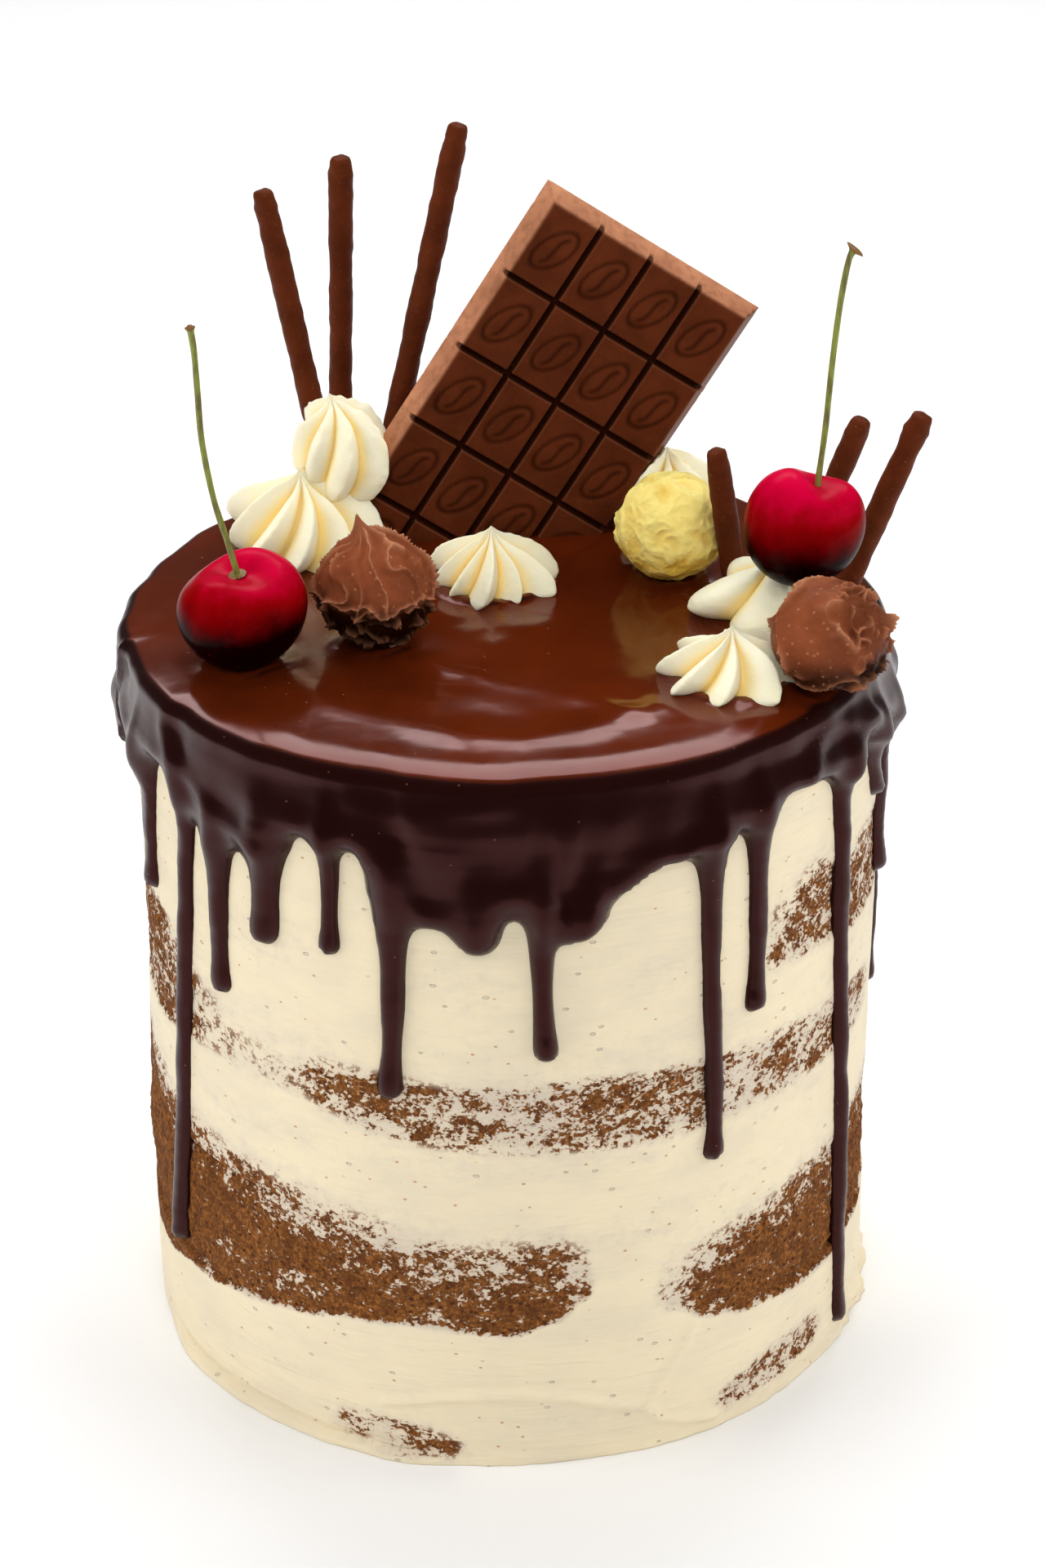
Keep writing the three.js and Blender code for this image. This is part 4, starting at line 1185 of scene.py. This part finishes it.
def make_rosette(foot, radius, height, petals, twist, lean, domed, roundness, seed):
    """A star-nozzle rosette: petals that wind up to a peak, and how deep in a fold each point is, which sets
    the painted shade there.
    """
    profile = [(0, 1.0)]
    profile += [(PETAL_RING, 1 - row / ROSETTE_ROWS) for row in range(1, ROSETTE_ROWS + 1)]
    profile += [(CLOSING_RING, -0.1), (0, -0.2)]
    bm = spun(profile, petals * PETAL_COLUMNS)
    folds = []

    def outline(pointed, round_one, down):
        """Radius and height of an outline between the pointed and the domed one."""
        return [mix(a, b, domed) for a, b in zip(along(pointed, down), along(round_one, down))]

    def place(angle, ring, level):
        down = clamp(1 - level)
        turn = math.radians(angle)
        warp = 5 * waves((math.cos(turn), math.sin(turn), level / 3), 0.8, seed)
        ridge = petal_ridge(angle + warp, petals, mix(roundness + 0.5, roundness, smooth(2 * down)))
        # How deep in a groove the point lies, for the painted shade there
        folds.append((1 - ridge) * smooth(4 * down))
        if ring < 0.01 and level > 0:
            return Vector((*foot[:2], foot[2] + height)) + Vector((*lean, 0))
        # Each petal is a little longer, higher and more turned than the next by its own draws
        petal = math.floor(angle * petals / 360) % petals
        longer = 1 + 0.3 * (draw(petal, seed) - 0.55)
        lifted = 0.2 * (draw(petal, seed + 1) - 0.5)
        crest = outline(CREST_POINTED, CREST_DOMED, down)
        groove = outline(GROOVE_POINTED, GROOVE_DOMED, down)
        wide = mix(groove[0], crest[0] * longer, ridge) * radius
        tall = mix(groove[1], crest[1] + lifted * down * (1 - down) * 4, ridge) * height
        if ring < PETAL_RING - 0.02:
            wide = wide * ring / PETAL_RING * 0.9
            tall = -0.15
        swing = angle + twist * (1 - down) ** 1.2 + 8 * math.sin(down * math.pi)
        swing += 5 * (draw(petal, seed + 2) - 0.5) * down
        spot = around(swing, wide, tall)
        rough = relief(spot, (0.08 + 0.2 * ridge ** 4, 1.5, seed), (0.4, 7, seed + 2))
        spot *= 1 + rough / radius
        peak = (tall / height) ** 2
        return spot + Vector(foot) + Vector((lean[0] * peak, lean[1] * peak, 0))

    reshape(bm, place)
    return bm, folds


class CAKE_OT_rosettes(bpy.types.Operator):
    """Pipe the cream rosettes"""
    bl_idname = "cake.rosettes"
    bl_label = "Rosettes"

    def execute(self, context):
        for name, *shape in ROSETTES:
            bm, folds = make_rosette(*shape)
            add_piece(name + "_piped", bm, cream_material(), "rosette", name, values={"fold": folds})
        return {"FINISHED"}


# Chocolate bar

def bar_lines(count, pitch):
    """Grid lines across the moulded pieces: close together at each groove and edge, even between."""
    lines = [-BAR_RIM + offset for offset in EDGE_LINES]
    inner = pitch - 2 * FACE_START
    steps = round(inner / FACE_LINE)
    for start in (index * pitch for index in range(count)):
        lines += [start + offset for offset in GROOVE_LINES]
        lines += [start + FACE_START + inner * step / steps for step in range(steps + 1)]
        lines += [start + pitch - offset for offset in reversed(GROOVE_LINES)]
    return lines + [count * pitch + BAR_RIM - offset for offset in reversed(EDGE_LINES)]


def piece_rise(place, pitch, count):
    """How high a moulded piece stands at a place across it, from 0 in a groove to 1."""
    nearest = round(place / pitch)
    if nearest < 1 or nearest >= count:
        return 1.0
    return smooth((abs(place - nearest * pitch) - 0.28) / 0.62)


def bar_inset(x, z):
    """Distance from the bar's outline."""
    return min(x, BAR_WIDTH - x, -z, BAR_LENGTH + z) + BAR_RIM


def bean_relief(x, z):
    """Relief of a cocoa bean in the middle of each piece, and how much painted shadow darkens its outline."""
    side = (x % COLUMN_PITCH) - COLUMN_PITCH / 2
    up = (-z % ROW_PITCH) - ROW_PITCH / 2
    u = side * math.cos(BEAN_TURN) + up * math.sin(BEAN_TURN)
    v = up * math.cos(BEAN_TURN) - side * math.sin(BEAN_TURN)
    reach = math.hypot(u / BEAN_HALF[0], v / BEAN_HALF[1])
    body = smooth((1 - reach) / 0.22)
    seam = bell(u - 0.6 * math.sin(v * 0.7), 0.4) * smooth((0.86 - reach) / 0.15)
    moat = bell(reach - 1.08, 0.12)
    return BEAN_RISE * body - BEAN_SEAM * seam - BEAN_MOAT * moat, clamp(0.8 * seam + 0.6 * moat)


class CAKE_OT_bar(bpy.types.Operator):
    """Mould the chocolate bar and push it into the cake"""
    bl_idname = "cake.bar"
    bl_label = "Chocolate bar"

    def execute(self, context):
        across = bar_lines(BAR_COLUMNS, COLUMN_PITCH)
        down = bar_lines(BAR_ROWS, ROW_PITCH)
        bm = bmesh.new()
        worn_and_sheen = bm.verts.layers.float.new("worn_and_sheen")
        painted_shade = bm.verts.layers.float.new("painted_shade")
        bmesh.ops.create_grid(bm, x_segments=len(across) - 1, y_segments=len(down) - 1, size=1)
        for vert in bm.verts:
            column = round((vert.co.x + 1) / 2 * (len(across) - 1))
            row = round((vert.co.y + 1) / 2 * (len(down) - 1))
            vert.co = Vector((across[column], 0, -down[row]))
        front = list(bm.verts)
        back = bmesh.ops.extrude_face_region(bm, geom=list(bm.faces))["geom"]
        for vert in front:
            self.mould_face(vert, worn_and_sheen, painted_shade)
        for vert in only_verts(back):
            x, _, z = vert.co
            edge = bar_inset(x, z)
            vert.co.y = BAR_DEPTH - 0.3 * (1 - smooth(edge / 0.9)) + 0.08 * waves((x, 3, z), 5, 16)
            vert[worn_and_sheen] = 0.7 * (1 - smooth(edge / 0.6))
            vert[painted_shade] = 0.0
        # Small nicks along the edge
        for vert in bm.verts:
            nick = max(0, waves(vert.co, 2.2, 17) - 0.36) * 2.0
            vert.co += Vector((0.3, 0.2, -0.3)) * nick * bell(bar_inset(vert.co.x, vert.co.z), 0.9)
        self.push_in(bm)
        material = chocolate_material("milk_chocolate", "milk", 0.1, 0.1)
        add_piece("moulded_bar", bm, material, "bar", "chocolate_bar")
        return {"FINISHED"}

    def mould_face(self, vert, worn_and_sheen, painted_shade):
        """Raises the pieces and beans at a point, and marks its pale edges, partly painted sheen, and the
        painted shade in its grooves and bean outlines.
        """
        x, _, z = vert.co
        inset = bar_inset(x, z)
        rise = piece_rise(x, COLUMN_PITCH, BAR_COLUMNS) * piece_rise(-z, ROW_PITCH, BAR_ROWS)
        slope = BAR_SIDE * clamp(1 - inset / BAR_SLOPE)
        bean, line = bean_relief(x, z)
        face = PIECE_RISE * (1 - rise) - rise * (bean + 0.12 * waves((x, 0, z), 9, 15))
        vert.co.y = smooth_max(face, slope, 0.4)
        # Partly painted sheen: the rim's slopes and the pieces' bevels are paler, most on the sides towards
        # the lights
        lit = 1.0 if min(x, -z) < min(BAR_WIDTH - x, BAR_LENGTH + z) else 0.2
        band = lit * mix(0.7, 1.0, clamp(slope / BAR_SIDE)) * (0.85 + 0.3 * waves((x, 0, z), 6, 18))
        bevel = 0.4 * bell(rise - 0.7, 0.14) + 0.3 * lit * bell(inset - BAR_SLOPE, 0.3)
        vert[worn_and_sheen] = clamp(band * smooth(slope / 0.6) * (1 - 0.8 * smooth(face - slope)) + bevel)
        # Painted shade in the grooves and along the bean's seam and moat
        vert[painted_shade] = max(0.9 * (1 - rise) * smooth((face - slope) / 0.5), line * rise * (slope < 0.1))

    def push_in(self, bm):
        """Turns the bar to its place, and cuts off what would end deep in the cake."""
        rotation = (Matrix.Rotation(math.radians(BAR_SWING), 4, "Z")
                    @ Matrix.Rotation(math.radians(BAR_LEAN), 4, "X")
                    @ Matrix.Rotation(math.radians(BAR_SLANT), 4, "Y"))
        bmesh.ops.transform(bm, matrix=Matrix.Translation(BAR_CORNER) @ rotation, verts=bm.verts)
        cut = bmesh.ops.bisect_plane(
            bm, geom=list(bm.verts) + list(bm.edges) + list(bm.faces), plane_co=(0, 0, BAR_END),
            plane_no=(0, 0, 1), clear_inner=True)["geom_cut"]
        bmesh.ops.edgenet_fill(bm, edges=[item for item in cut if isinstance(item, bmesh.types.BMEdge)])
        bmesh.ops.recalc_face_normals(bm, faces=bm.faces)


# Sticks

class CAKE_OT_sticks(bpy.types.Operator):
    """Dip the chocolate sticks"""
    bl_idname = "cake.sticks"
    bl_label = "Chocolate sticks"

    def execute(self, context):
        material = chocolate_material("dipped_stick", "dipped", 0.3, 0.16)
        for index, (foot, tip) in enumerate(STICKS):
            way = Vector(tip) - Vector(foot)
            start = Vector(foot) - way.normalized() * STICK_DEPTH / way.normalized().z
            bm = self.make_stick((Vector(tip) - start).length, index)
            turn = way.to_track_quat("Z", "Y").to_matrix().to_4x4()
            bmesh.ops.transform(bm, matrix=Matrix.Translation(start) @ turn, verts=bm.verts)
            add_piece(f"dipped_stick_{index + 1}", bm, material, "stick", f"stick_{index + 1}")
        return {"FINISHED"}

    def make_stick(self, length, seed):
        """A stick along Z with an uneven skin and a pinched tip."""
        radius = sizes("stick")
        rows = round(length / STICK_ROW)
        wall = [(radius, length * row / rows) for row in range(rows)]
        cap = [(radius * part, length) for part in (0.9, 0.75, 0.55, 0.3)]
        bm = spun([(0, 0)] + wall + cap + [(0, length)], STICK_COLUMNS)

        def place(angle, ring, height):
            spot = around(angle, ring, height)
            near = length - height
            slim = 1 - 0.16 * smooth((3.6 - near) / 3.6)
            if near < 0.01:
                height += 0.9 * math.sqrt(1 - (ring / radius) ** 2) - 0.2 + 0.3 * waves(spot, 1.6, seed)
            fold = 0.28 * bell(near - 3.0, 0.8) * math.sin(math.radians(angle) * 2 + seed)
            lump = 0.07 * waves(spot, 2.2, seed) + 0.1 * waves((0, 0, height), 7, seed + 3)
            bend = 0.25 * (math.sin(height / length * math.pi + seed) - math.sin(seed))
            settle = smooth(height / length * 2) * smooth((length - height) / length * 2)
            wide = ring * (slim + lump) - fold * min(1, ring)
            return around(angle, wide, height) + Vector((bend * settle, 0, 0))

        reshape(bm, place)
        return bm


# Cherries

def cherry_spot(angle, polar_angle, radius, height, seam):
    """A point of a heart-shaped cherry about its middle, from 0 degrees below to 180 above."""
    part = math.radians(polar_angle)
    fold = math.cos(math.radians(angle - seam)) ** 2
    shoulder = 0.93 + 0.07 * smooth(polar_angle / 180)
    ring = radius * math.sin(part) ** 0.9 * shoulder * (1.04 - 0.08 * fold)
    crease = 1.6 * fold * smooth(ring / radius / 0.5) * smooth((1 - ring / radius) / 0.3)
    dip = (3.4 * bell(ring, radius * 0.36) + crease) * smooth((polar_angle - 88) / 8)
    return around(angle, ring, -height / 2 * math.cos(part) - dip)


class CAKE_OT_cherries(bpy.types.Operator):
    """Set the two cherries and their stems"""
    bl_idname = "cake.cherries"
    bl_label = "Cherries"

    def execute(self, context):
        skin = cherry_material()
        twig = stem_material()
        for name, *shape in CHERRIES:
            bm, lit_to_shaded = self.make_fruit(*shape)
            add_piece(name + "_fruit", bm, skin, "cherry", name, values={"lit_to_shaded": lit_to_shaded})
        for name, *shape in STEMS:
            bm, woody = self.make_stem(*shape)
            add_piece(name + "_twig", bm, twig, "stem", name, values={"woody": woody})
        return {"FINISHED"}

    def make_fruit(self, centre, radius, height, lean, seam, shade_at_middle, fall):
        """A cherry that is flat where it stands in the glaze, and how far into its painted shade each point
        lies.
        """
        profile = [(math.sin(math.pi * row / CHERRY_ROWS), row) for row in range(CHERRY_ROWS + 1)]
        profile[0] = (0, 0)
        profile[-1] = (0, CHERRY_ROWS)
        bm = spun(profile, CHERRY_COLUMNS)
        turn = Matrix.Rotation(math.radians(lean[1]), 3, "Y")
        turn = Matrix.Rotation(math.radians(lean[0]), 3, "X") @ turn

        def place(angle, ring, row):
            spot = cherry_spot(angle, 180 * row / CHERRY_ROWS, radius, height, seam)
            spot *= 1 + 0.012 * waves(spot, 9, seam)
            return turn @ spot + Vector(centre)

        reshape(bm, place)
        for vert in bm.verts:
            vert.co.z = max(vert.co.z, GLAZE_TOP - SUNK_IN)
        # Painted shade that deepens towards the bottom of the fruit
        lit_to_shaded = [clamp(shade_at_middle - (vert.co.z - centre[2]) / height * fall, 0, 1.4) for vert in bm.verts]
        return bm, lit_to_shaded

    def make_stem(self, knob, points):
        """A stem with a flared foot and a ragged knob, and how woody each point is."""
        length = sum(math.dist(a, b) for a, b in zip(points, points[1:]))
        rows = round(length / STEM_ROW)
        profile = [(0, 0)] + [(1, row) for row in range(rows + 1)] + [(0, rows)]
        bm = spun(profile, STEM_COLUMNS)

        def place(angle, ring, row):
            part = row / rows
            ahead = Vector(along(points, min(part + 0.01, 1))) - Vector(along(points, part - 0.01))
            from_end = length * (1 - part)
            lump = (knob - sizes("stem")) * bell(from_end - 0.9 * knob, 0.9 * knob)
            lump += 0.25 * lump * waves(around(angle, 1, from_end), 0.8, knob)
            flare = 1.2 * bell(length * part, 1.5)
            wide = sizes("stem") * (1 + 0.12 * waves((0, 0, row), 9, knob)) + flare + lump
            if from_end < 0.6:
                wide *= 0.6
            return Vector(along(points, part)) + ahead.to_track_quat("Z", "Y") @ around(angle, ring * wide, 0)

        shares = [vert.co.z / rows for vert in bm.verts]
        woody = [clamp(bell(length * part, 2.2) + bell(length * (1 - part), 2.2 * knob)) for part in shares]
        reshape(bm, place)
        return bm, woody


# Truffles

def truffle_shift(seed):
    return Vector((seed * 3.1, seed * 1.7, seed * 2.3))


def bent_by_noise(spot, shift):
    """A spot moved about, so that patterns on it lose their straight lines."""
    return spot + 2.2 * noise.noise_vector(spot / 6 + shift) + 0.5 * noise.noise_vector(spot / 2 - shift)


def crumpled_relief(spot, seed):
    """Soft folds with sharp crests and finer ones between them: height, crest and hollow."""
    shift = truffle_shift(seed)
    bent = bent_by_noise(spot, shift)
    broad = 1 - 2.4 * abs(noise.noise(bent / 6.5 + shift))
    fine = 1 - 2.4 * abs(noise.noise(bent / 2.8 - shift))
    height = 0.6 * broad + 0.28 * fine + 0.1 * noise.noise(spot / 0.9) + 0.9 * noise.noise(spot / 9 - shift)
    return height, clamp(0.7 * broad + 0.4 * fine - 0.3), clamp(0.6 - 0.6 * broad - 0.2 * fine)


def crust_relief(spot, seed, patch, drawn, rough_way, reach, spike_way, spike, cap, ribs=0):
    """A dipped crust: its height, how pale a thin crest is, partly painted highlight, and how rough it is
    there.
    """
    way = spot.normalized()
    shift = truffle_shift(seed)
    bent = bent_by_noise(spot, shift)
    # Ragged flakes on the rough side, with hollows between them
    side = way.dot(Vector(rough_way).normalized()) - reach
    rough = smooth(side / 0.3 + 0.6 * noise.noise(spot / 4.5 + shift))
    near, _ = noise.voronoi(bent / 4.2 - shift)
    gap = (near[1] - near[0]) * 4.2
    flake = math.exp(-gap / 0.28) * smooth(0.3 + 2.2 * noise.noise(spot / 3 + shift))
    hollow = smooth(gap / 1.4) * smooth(0.3 + 1.6 * noise.noise(spot / 4 - shift))
    # The dipped cap, with a curled and torn lower edge
    torn = cap + 0.3 * noise.noise(spot / 5.5 + shift) + 0.06 * noise.noise(spot / 1.3 + shift)
    over = (way.z - torn) / 0.045
    curl = math.exp(-abs(over - 0.9) / 0.8)
    # Thin crests: ribs round the spike, or the seams between smooth patches
    if ribs:
        off = bent - Vector(spike_way) * spot.length
        turn = math.atan2(off.y, off.x) / (2 * math.pi) * ribs + 0.9 * noise.noise(spot / 7 + shift)
        seam = abs(turn - round(turn)) / ribs * 2 * math.pi * math.hypot(off.x, off.y)
        present = smooth(0.85 + 1.5 * noise.noise(spot / 6 - shift))
        crest = 1.1 * math.exp(-seam / 0.2) * present * (1 - 0.6 * rough)
    else:
        distances, _ = noise.voronoi(Vector((bent.x, bent.y, bent.z * drawn)) / patch + shift)
        seam = (distances[1] - distances[0]) * patch
        present = smooth(0.5 + 1.7 * noise.noise(spot / 7 - shift))
        crest = math.exp(-seam / 0.4) * present * (1 - rough)
    peak = math.exp(-way.angle(Vector(spike_way)) / 0.11)
    dots, _ = noise.voronoi(spot / 1.9 + shift)
    speck = smooth((0.2 - dots[0]) / 0.1) * (1 - rough)
    height = 1.4 * crest - 0.6 * smooth(seam / 2.5) * (1 - rough) + rough * (1.6 * flake - 0.8 * hollow)
    height += spike * peak + 0.7 * curl + 0.45 * (smooth(over) - 1) + 0.12 * speck
    height += 0.1 * noise.noise(spot / 1.1 + shift) * (0.3 + rough) + 0.55 * noise.noise(spot / 10 + shift)
    return height, clamp(0.85 * crest + 0.7 * rough * flake + 0.7 * curl + 0.3 * peak + 0.5 * speck), rough


class CAKE_OT_truffles(bpy.types.Operator):
    """Roll the truffles"""
    bl_idname = "cake.truffles"
    bl_label = "Truffles"

    def execute(self, context):
        noise.seed_set(CRUST_SEED)
        milk = chocolate_material("milk_truffle", "truffle", 0.35, 0.1, 0.05)
        for name, centre, radius, character in TRUFFLES:
            start = 0.45 if "ribs" in character else 0.2
            self.roll(name, centre, radius, milk, "truffle", start, crust_relief, character)
        name, centre, radius, seed = WHITE_TRUFFLE
        white = white_chocolate_material()
        self.roll(name, centre, radius, white, "white_truffle", 0.2, crumpled_relief, {"seed": seed})
        return {"FINISHED"}

    def roll(self, name, centre, radius, material, slot, start, relief_of, character):
        """A ball with a crust, flat where it stands in the glaze and darker low down with painted shade."""
        bm = bmesh.new()
        bmesh.ops.create_icosphere(bm, subdivisions=7, radius=radius)
        floor = GLAZE_TOP - SUNK_IN - centre[2]
        worn_and_sheen = []
        painted_shade = []
        for vert in bm.verts:
            height, crest, rough = relief_of(vert.co.copy(), **character)
            low = smooth(start - 1.5 * vert.co.z / radius)
            # Pale crests, partly painted highlight, fading low down
            worn_and_sheen.append(crest * (1 - 0.5 * low))
            # Painted shade: darker low down and in rough hollows, lighter on crests
            painted_shade.append(clamp(0.95 * low + 0.4 * rough - 0.8 * crest))
            vert.co = vert.co.normalized() * (radius - 0.6 + height)
            vert.co.z = max(vert.co.z * TRUFFLE_FLAT, floor)
        bmesh.ops.translate(bm, vec=centre, verts=bm.verts)
        add_piece(name + "_crust", bm, material, slot, name, values={"worn_and_sheen": worn_and_sheen, "painted_shade": painted_shade})


# Stage

class CAKE_OT_stage(bpy.types.Operator):
    """Lay the pale floor and backdrop, and set the lights and the camera"""
    bl_idname = "cake.stage"
    bl_label = "Stage"

    def execute(self, context):
        self.add_backdrop()
        for light in LIGHTS:
            self.add_light(*light)
        world = context.scene.world or bpy.data.worlds.new("World")
        context.scene.world = world
        world.use_nodes = True
        background = world.node_tree.nodes["Background"].inputs
        background["Color"].default_value = (1, 1, 1, 1)
        background["Strength"].default_value = WORLD_LIGHT
        context.scene.view_settings.view_transform = "Standard"
        self.add_camera(context)
        return {"FINISHED"}

    def add_backdrop(self):
        """A floor, mirrored only beside and behind the cake, and a sweep up to a wall."""
        turns = [math.pi / 2 * step / 16 for step in range(17)]
        curve = [(FLOOR_BACK + SWEEP * math.sin(turn), SWEEP - SWEEP * math.cos(turn)) for turn in turns]
        material, nodes, shader = new_material("pale_floor")
        floor = tint("floor")
        shade = [part * 0.99 for part in floor[:3]] + [1]
        nodes.plug(shader, {"Base Color": nodes.mixed(nodes.spots(0.004, 2), floor, shade),
                            "Roughness": 0.6, "Specular IOR Level": 0.2})
        wall = curve + [(FLOOR_BACK + SWEEP, WALL_TOP)]
        self.add_sheet("front_floor", [(FLOOR_FRONT, 0), (FLOOR_SPLIT, 0)], material, False)
        self.add_sheet("floor", [(FLOOR_SPLIT, 0), (FLOOR_BACK, 0)], material, True)
        self.add_sheet("backdrop", wall, material, False)

    def add_sheet(self, name, curve, material, mirrored):
        """A wide sheet drawn out sideways from (y, z) points."""
        bm = bmesh.new()
        verts = [bm.verts.new((-STAGE_WIDTH / 2, y, z)) for y, z in curve]
        edges = [bm.edges.new(pair) for pair in zip(verts, verts[1:])]
        swept = bmesh.ops.extrude_edge_only(bm, edges=edges)["geom"]
        bmesh.ops.translate(bm, vec=(STAGE_WIDTH, 0, 0), verts=only_verts(swept))
        bmesh.ops.recalc_face_normals(bm, faces=bm.faces)
        bm.faces.ensure_lookup_table()
        if bm.faces[0].normal.z < 0:
            bmesh.ops.reverse_faces(bm, faces=bm.faces)
        sheet = new_object(name, bm, material)
        sheet.visible_glossy = mirrored

    def add_light(self, name, place, target, size, power, glossy):
        data = bpy.data.lights.new(name, "AREA")
        data.shape = "RECTANGLE"
        data.size, data.size_y = size
        data.energy = power
        light = bpy.data.objects.new(name, data)
        light.location = place
        light.rotation_euler = (Vector(target) - Vector(place)).to_track_quat("-Z", "Y").to_euler()
        light.visible_camera = False
        light.visible_glossy = glossy
        bpy.context.scene.collection.objects.link(light)

    def add_camera(self, context):
        data = bpy.data.cameras.new("Camera")
        data.lens = FOCAL_LENGTH
        data.sensor_width = SENSOR
        data.clip_start = 0.01
        camera = bpy.data.objects.new("Camera", data)
        level = math.cos(CAMERA_PITCH)
        look = Vector((math.sin(CAMERA_YAW) * level, math.cos(CAMERA_YAW) * level, -math.sin(CAMERA_PITCH)))
        turn = look.to_track_quat("-Z", "Y") @ Quaternion((0, 0, 1), CAMERA_ROLL)
        camera.location = CAMERA_PLACE
        camera.rotation_euler = turn.to_euler()
        context.scene.collection.objects.link(camera)
        context.scene.camera = camera


class CAKE_PT_panel(bpy.types.Panel):
    """Lists the pieces of the cake"""
    bl_label = "Drip cake"
    bl_space_type = "VIEW_3D"
    bl_region_type = "UI"
    bl_category = "Cake"

    def draw(self, context):
        for group in (context.scene.cake_sizes, context.scene.cake_colours):
            box = self.layout.box()
            for key in group.__annotations__:
                box.prop(group, key)
        for operator in OPERATORS:
            self.layout.operator(operator.bl_idname)


OPERATORS = [CAKE_OT_stage, CAKE_OT_layers, CAKE_OT_coat, CAKE_OT_glaze, CAKE_OT_rosettes,
             CAKE_OT_bar, CAKE_OT_sticks, CAKE_OT_cherries, CAKE_OT_truffles]
CLASSES = [CakeSizes, CakeColours, *OPERATORS, CAKE_PT_panel]


def register():
    for item in CLASSES:
        bpy.utils.register_class(item)
    bpy.types.Scene.cake_sizes = PointerProperty(type=CakeSizes)
    bpy.types.Scene.cake_colours = PointerProperty(type=CakeColours)


def unregister():
    del bpy.types.Scene.cake_colours
    del bpy.types.Scene.cake_sizes
    for item in reversed(CLASSES):
        bpy.utils.unregister_class(item)


def main():
    register()
    bpy.ops.cake.stage()
    bpy.ops.cake.layers()
    bpy.ops.cake.coat()
    bpy.ops.cake.glaze()
    bpy.ops.cake.rosettes()
    bpy.ops.cake.bar()
    bpy.ops.cake.sticks()
    bpy.ops.cake.cherries()
    bpy.ops.cake.truffles()


if __name__ == "__main__":
    main()
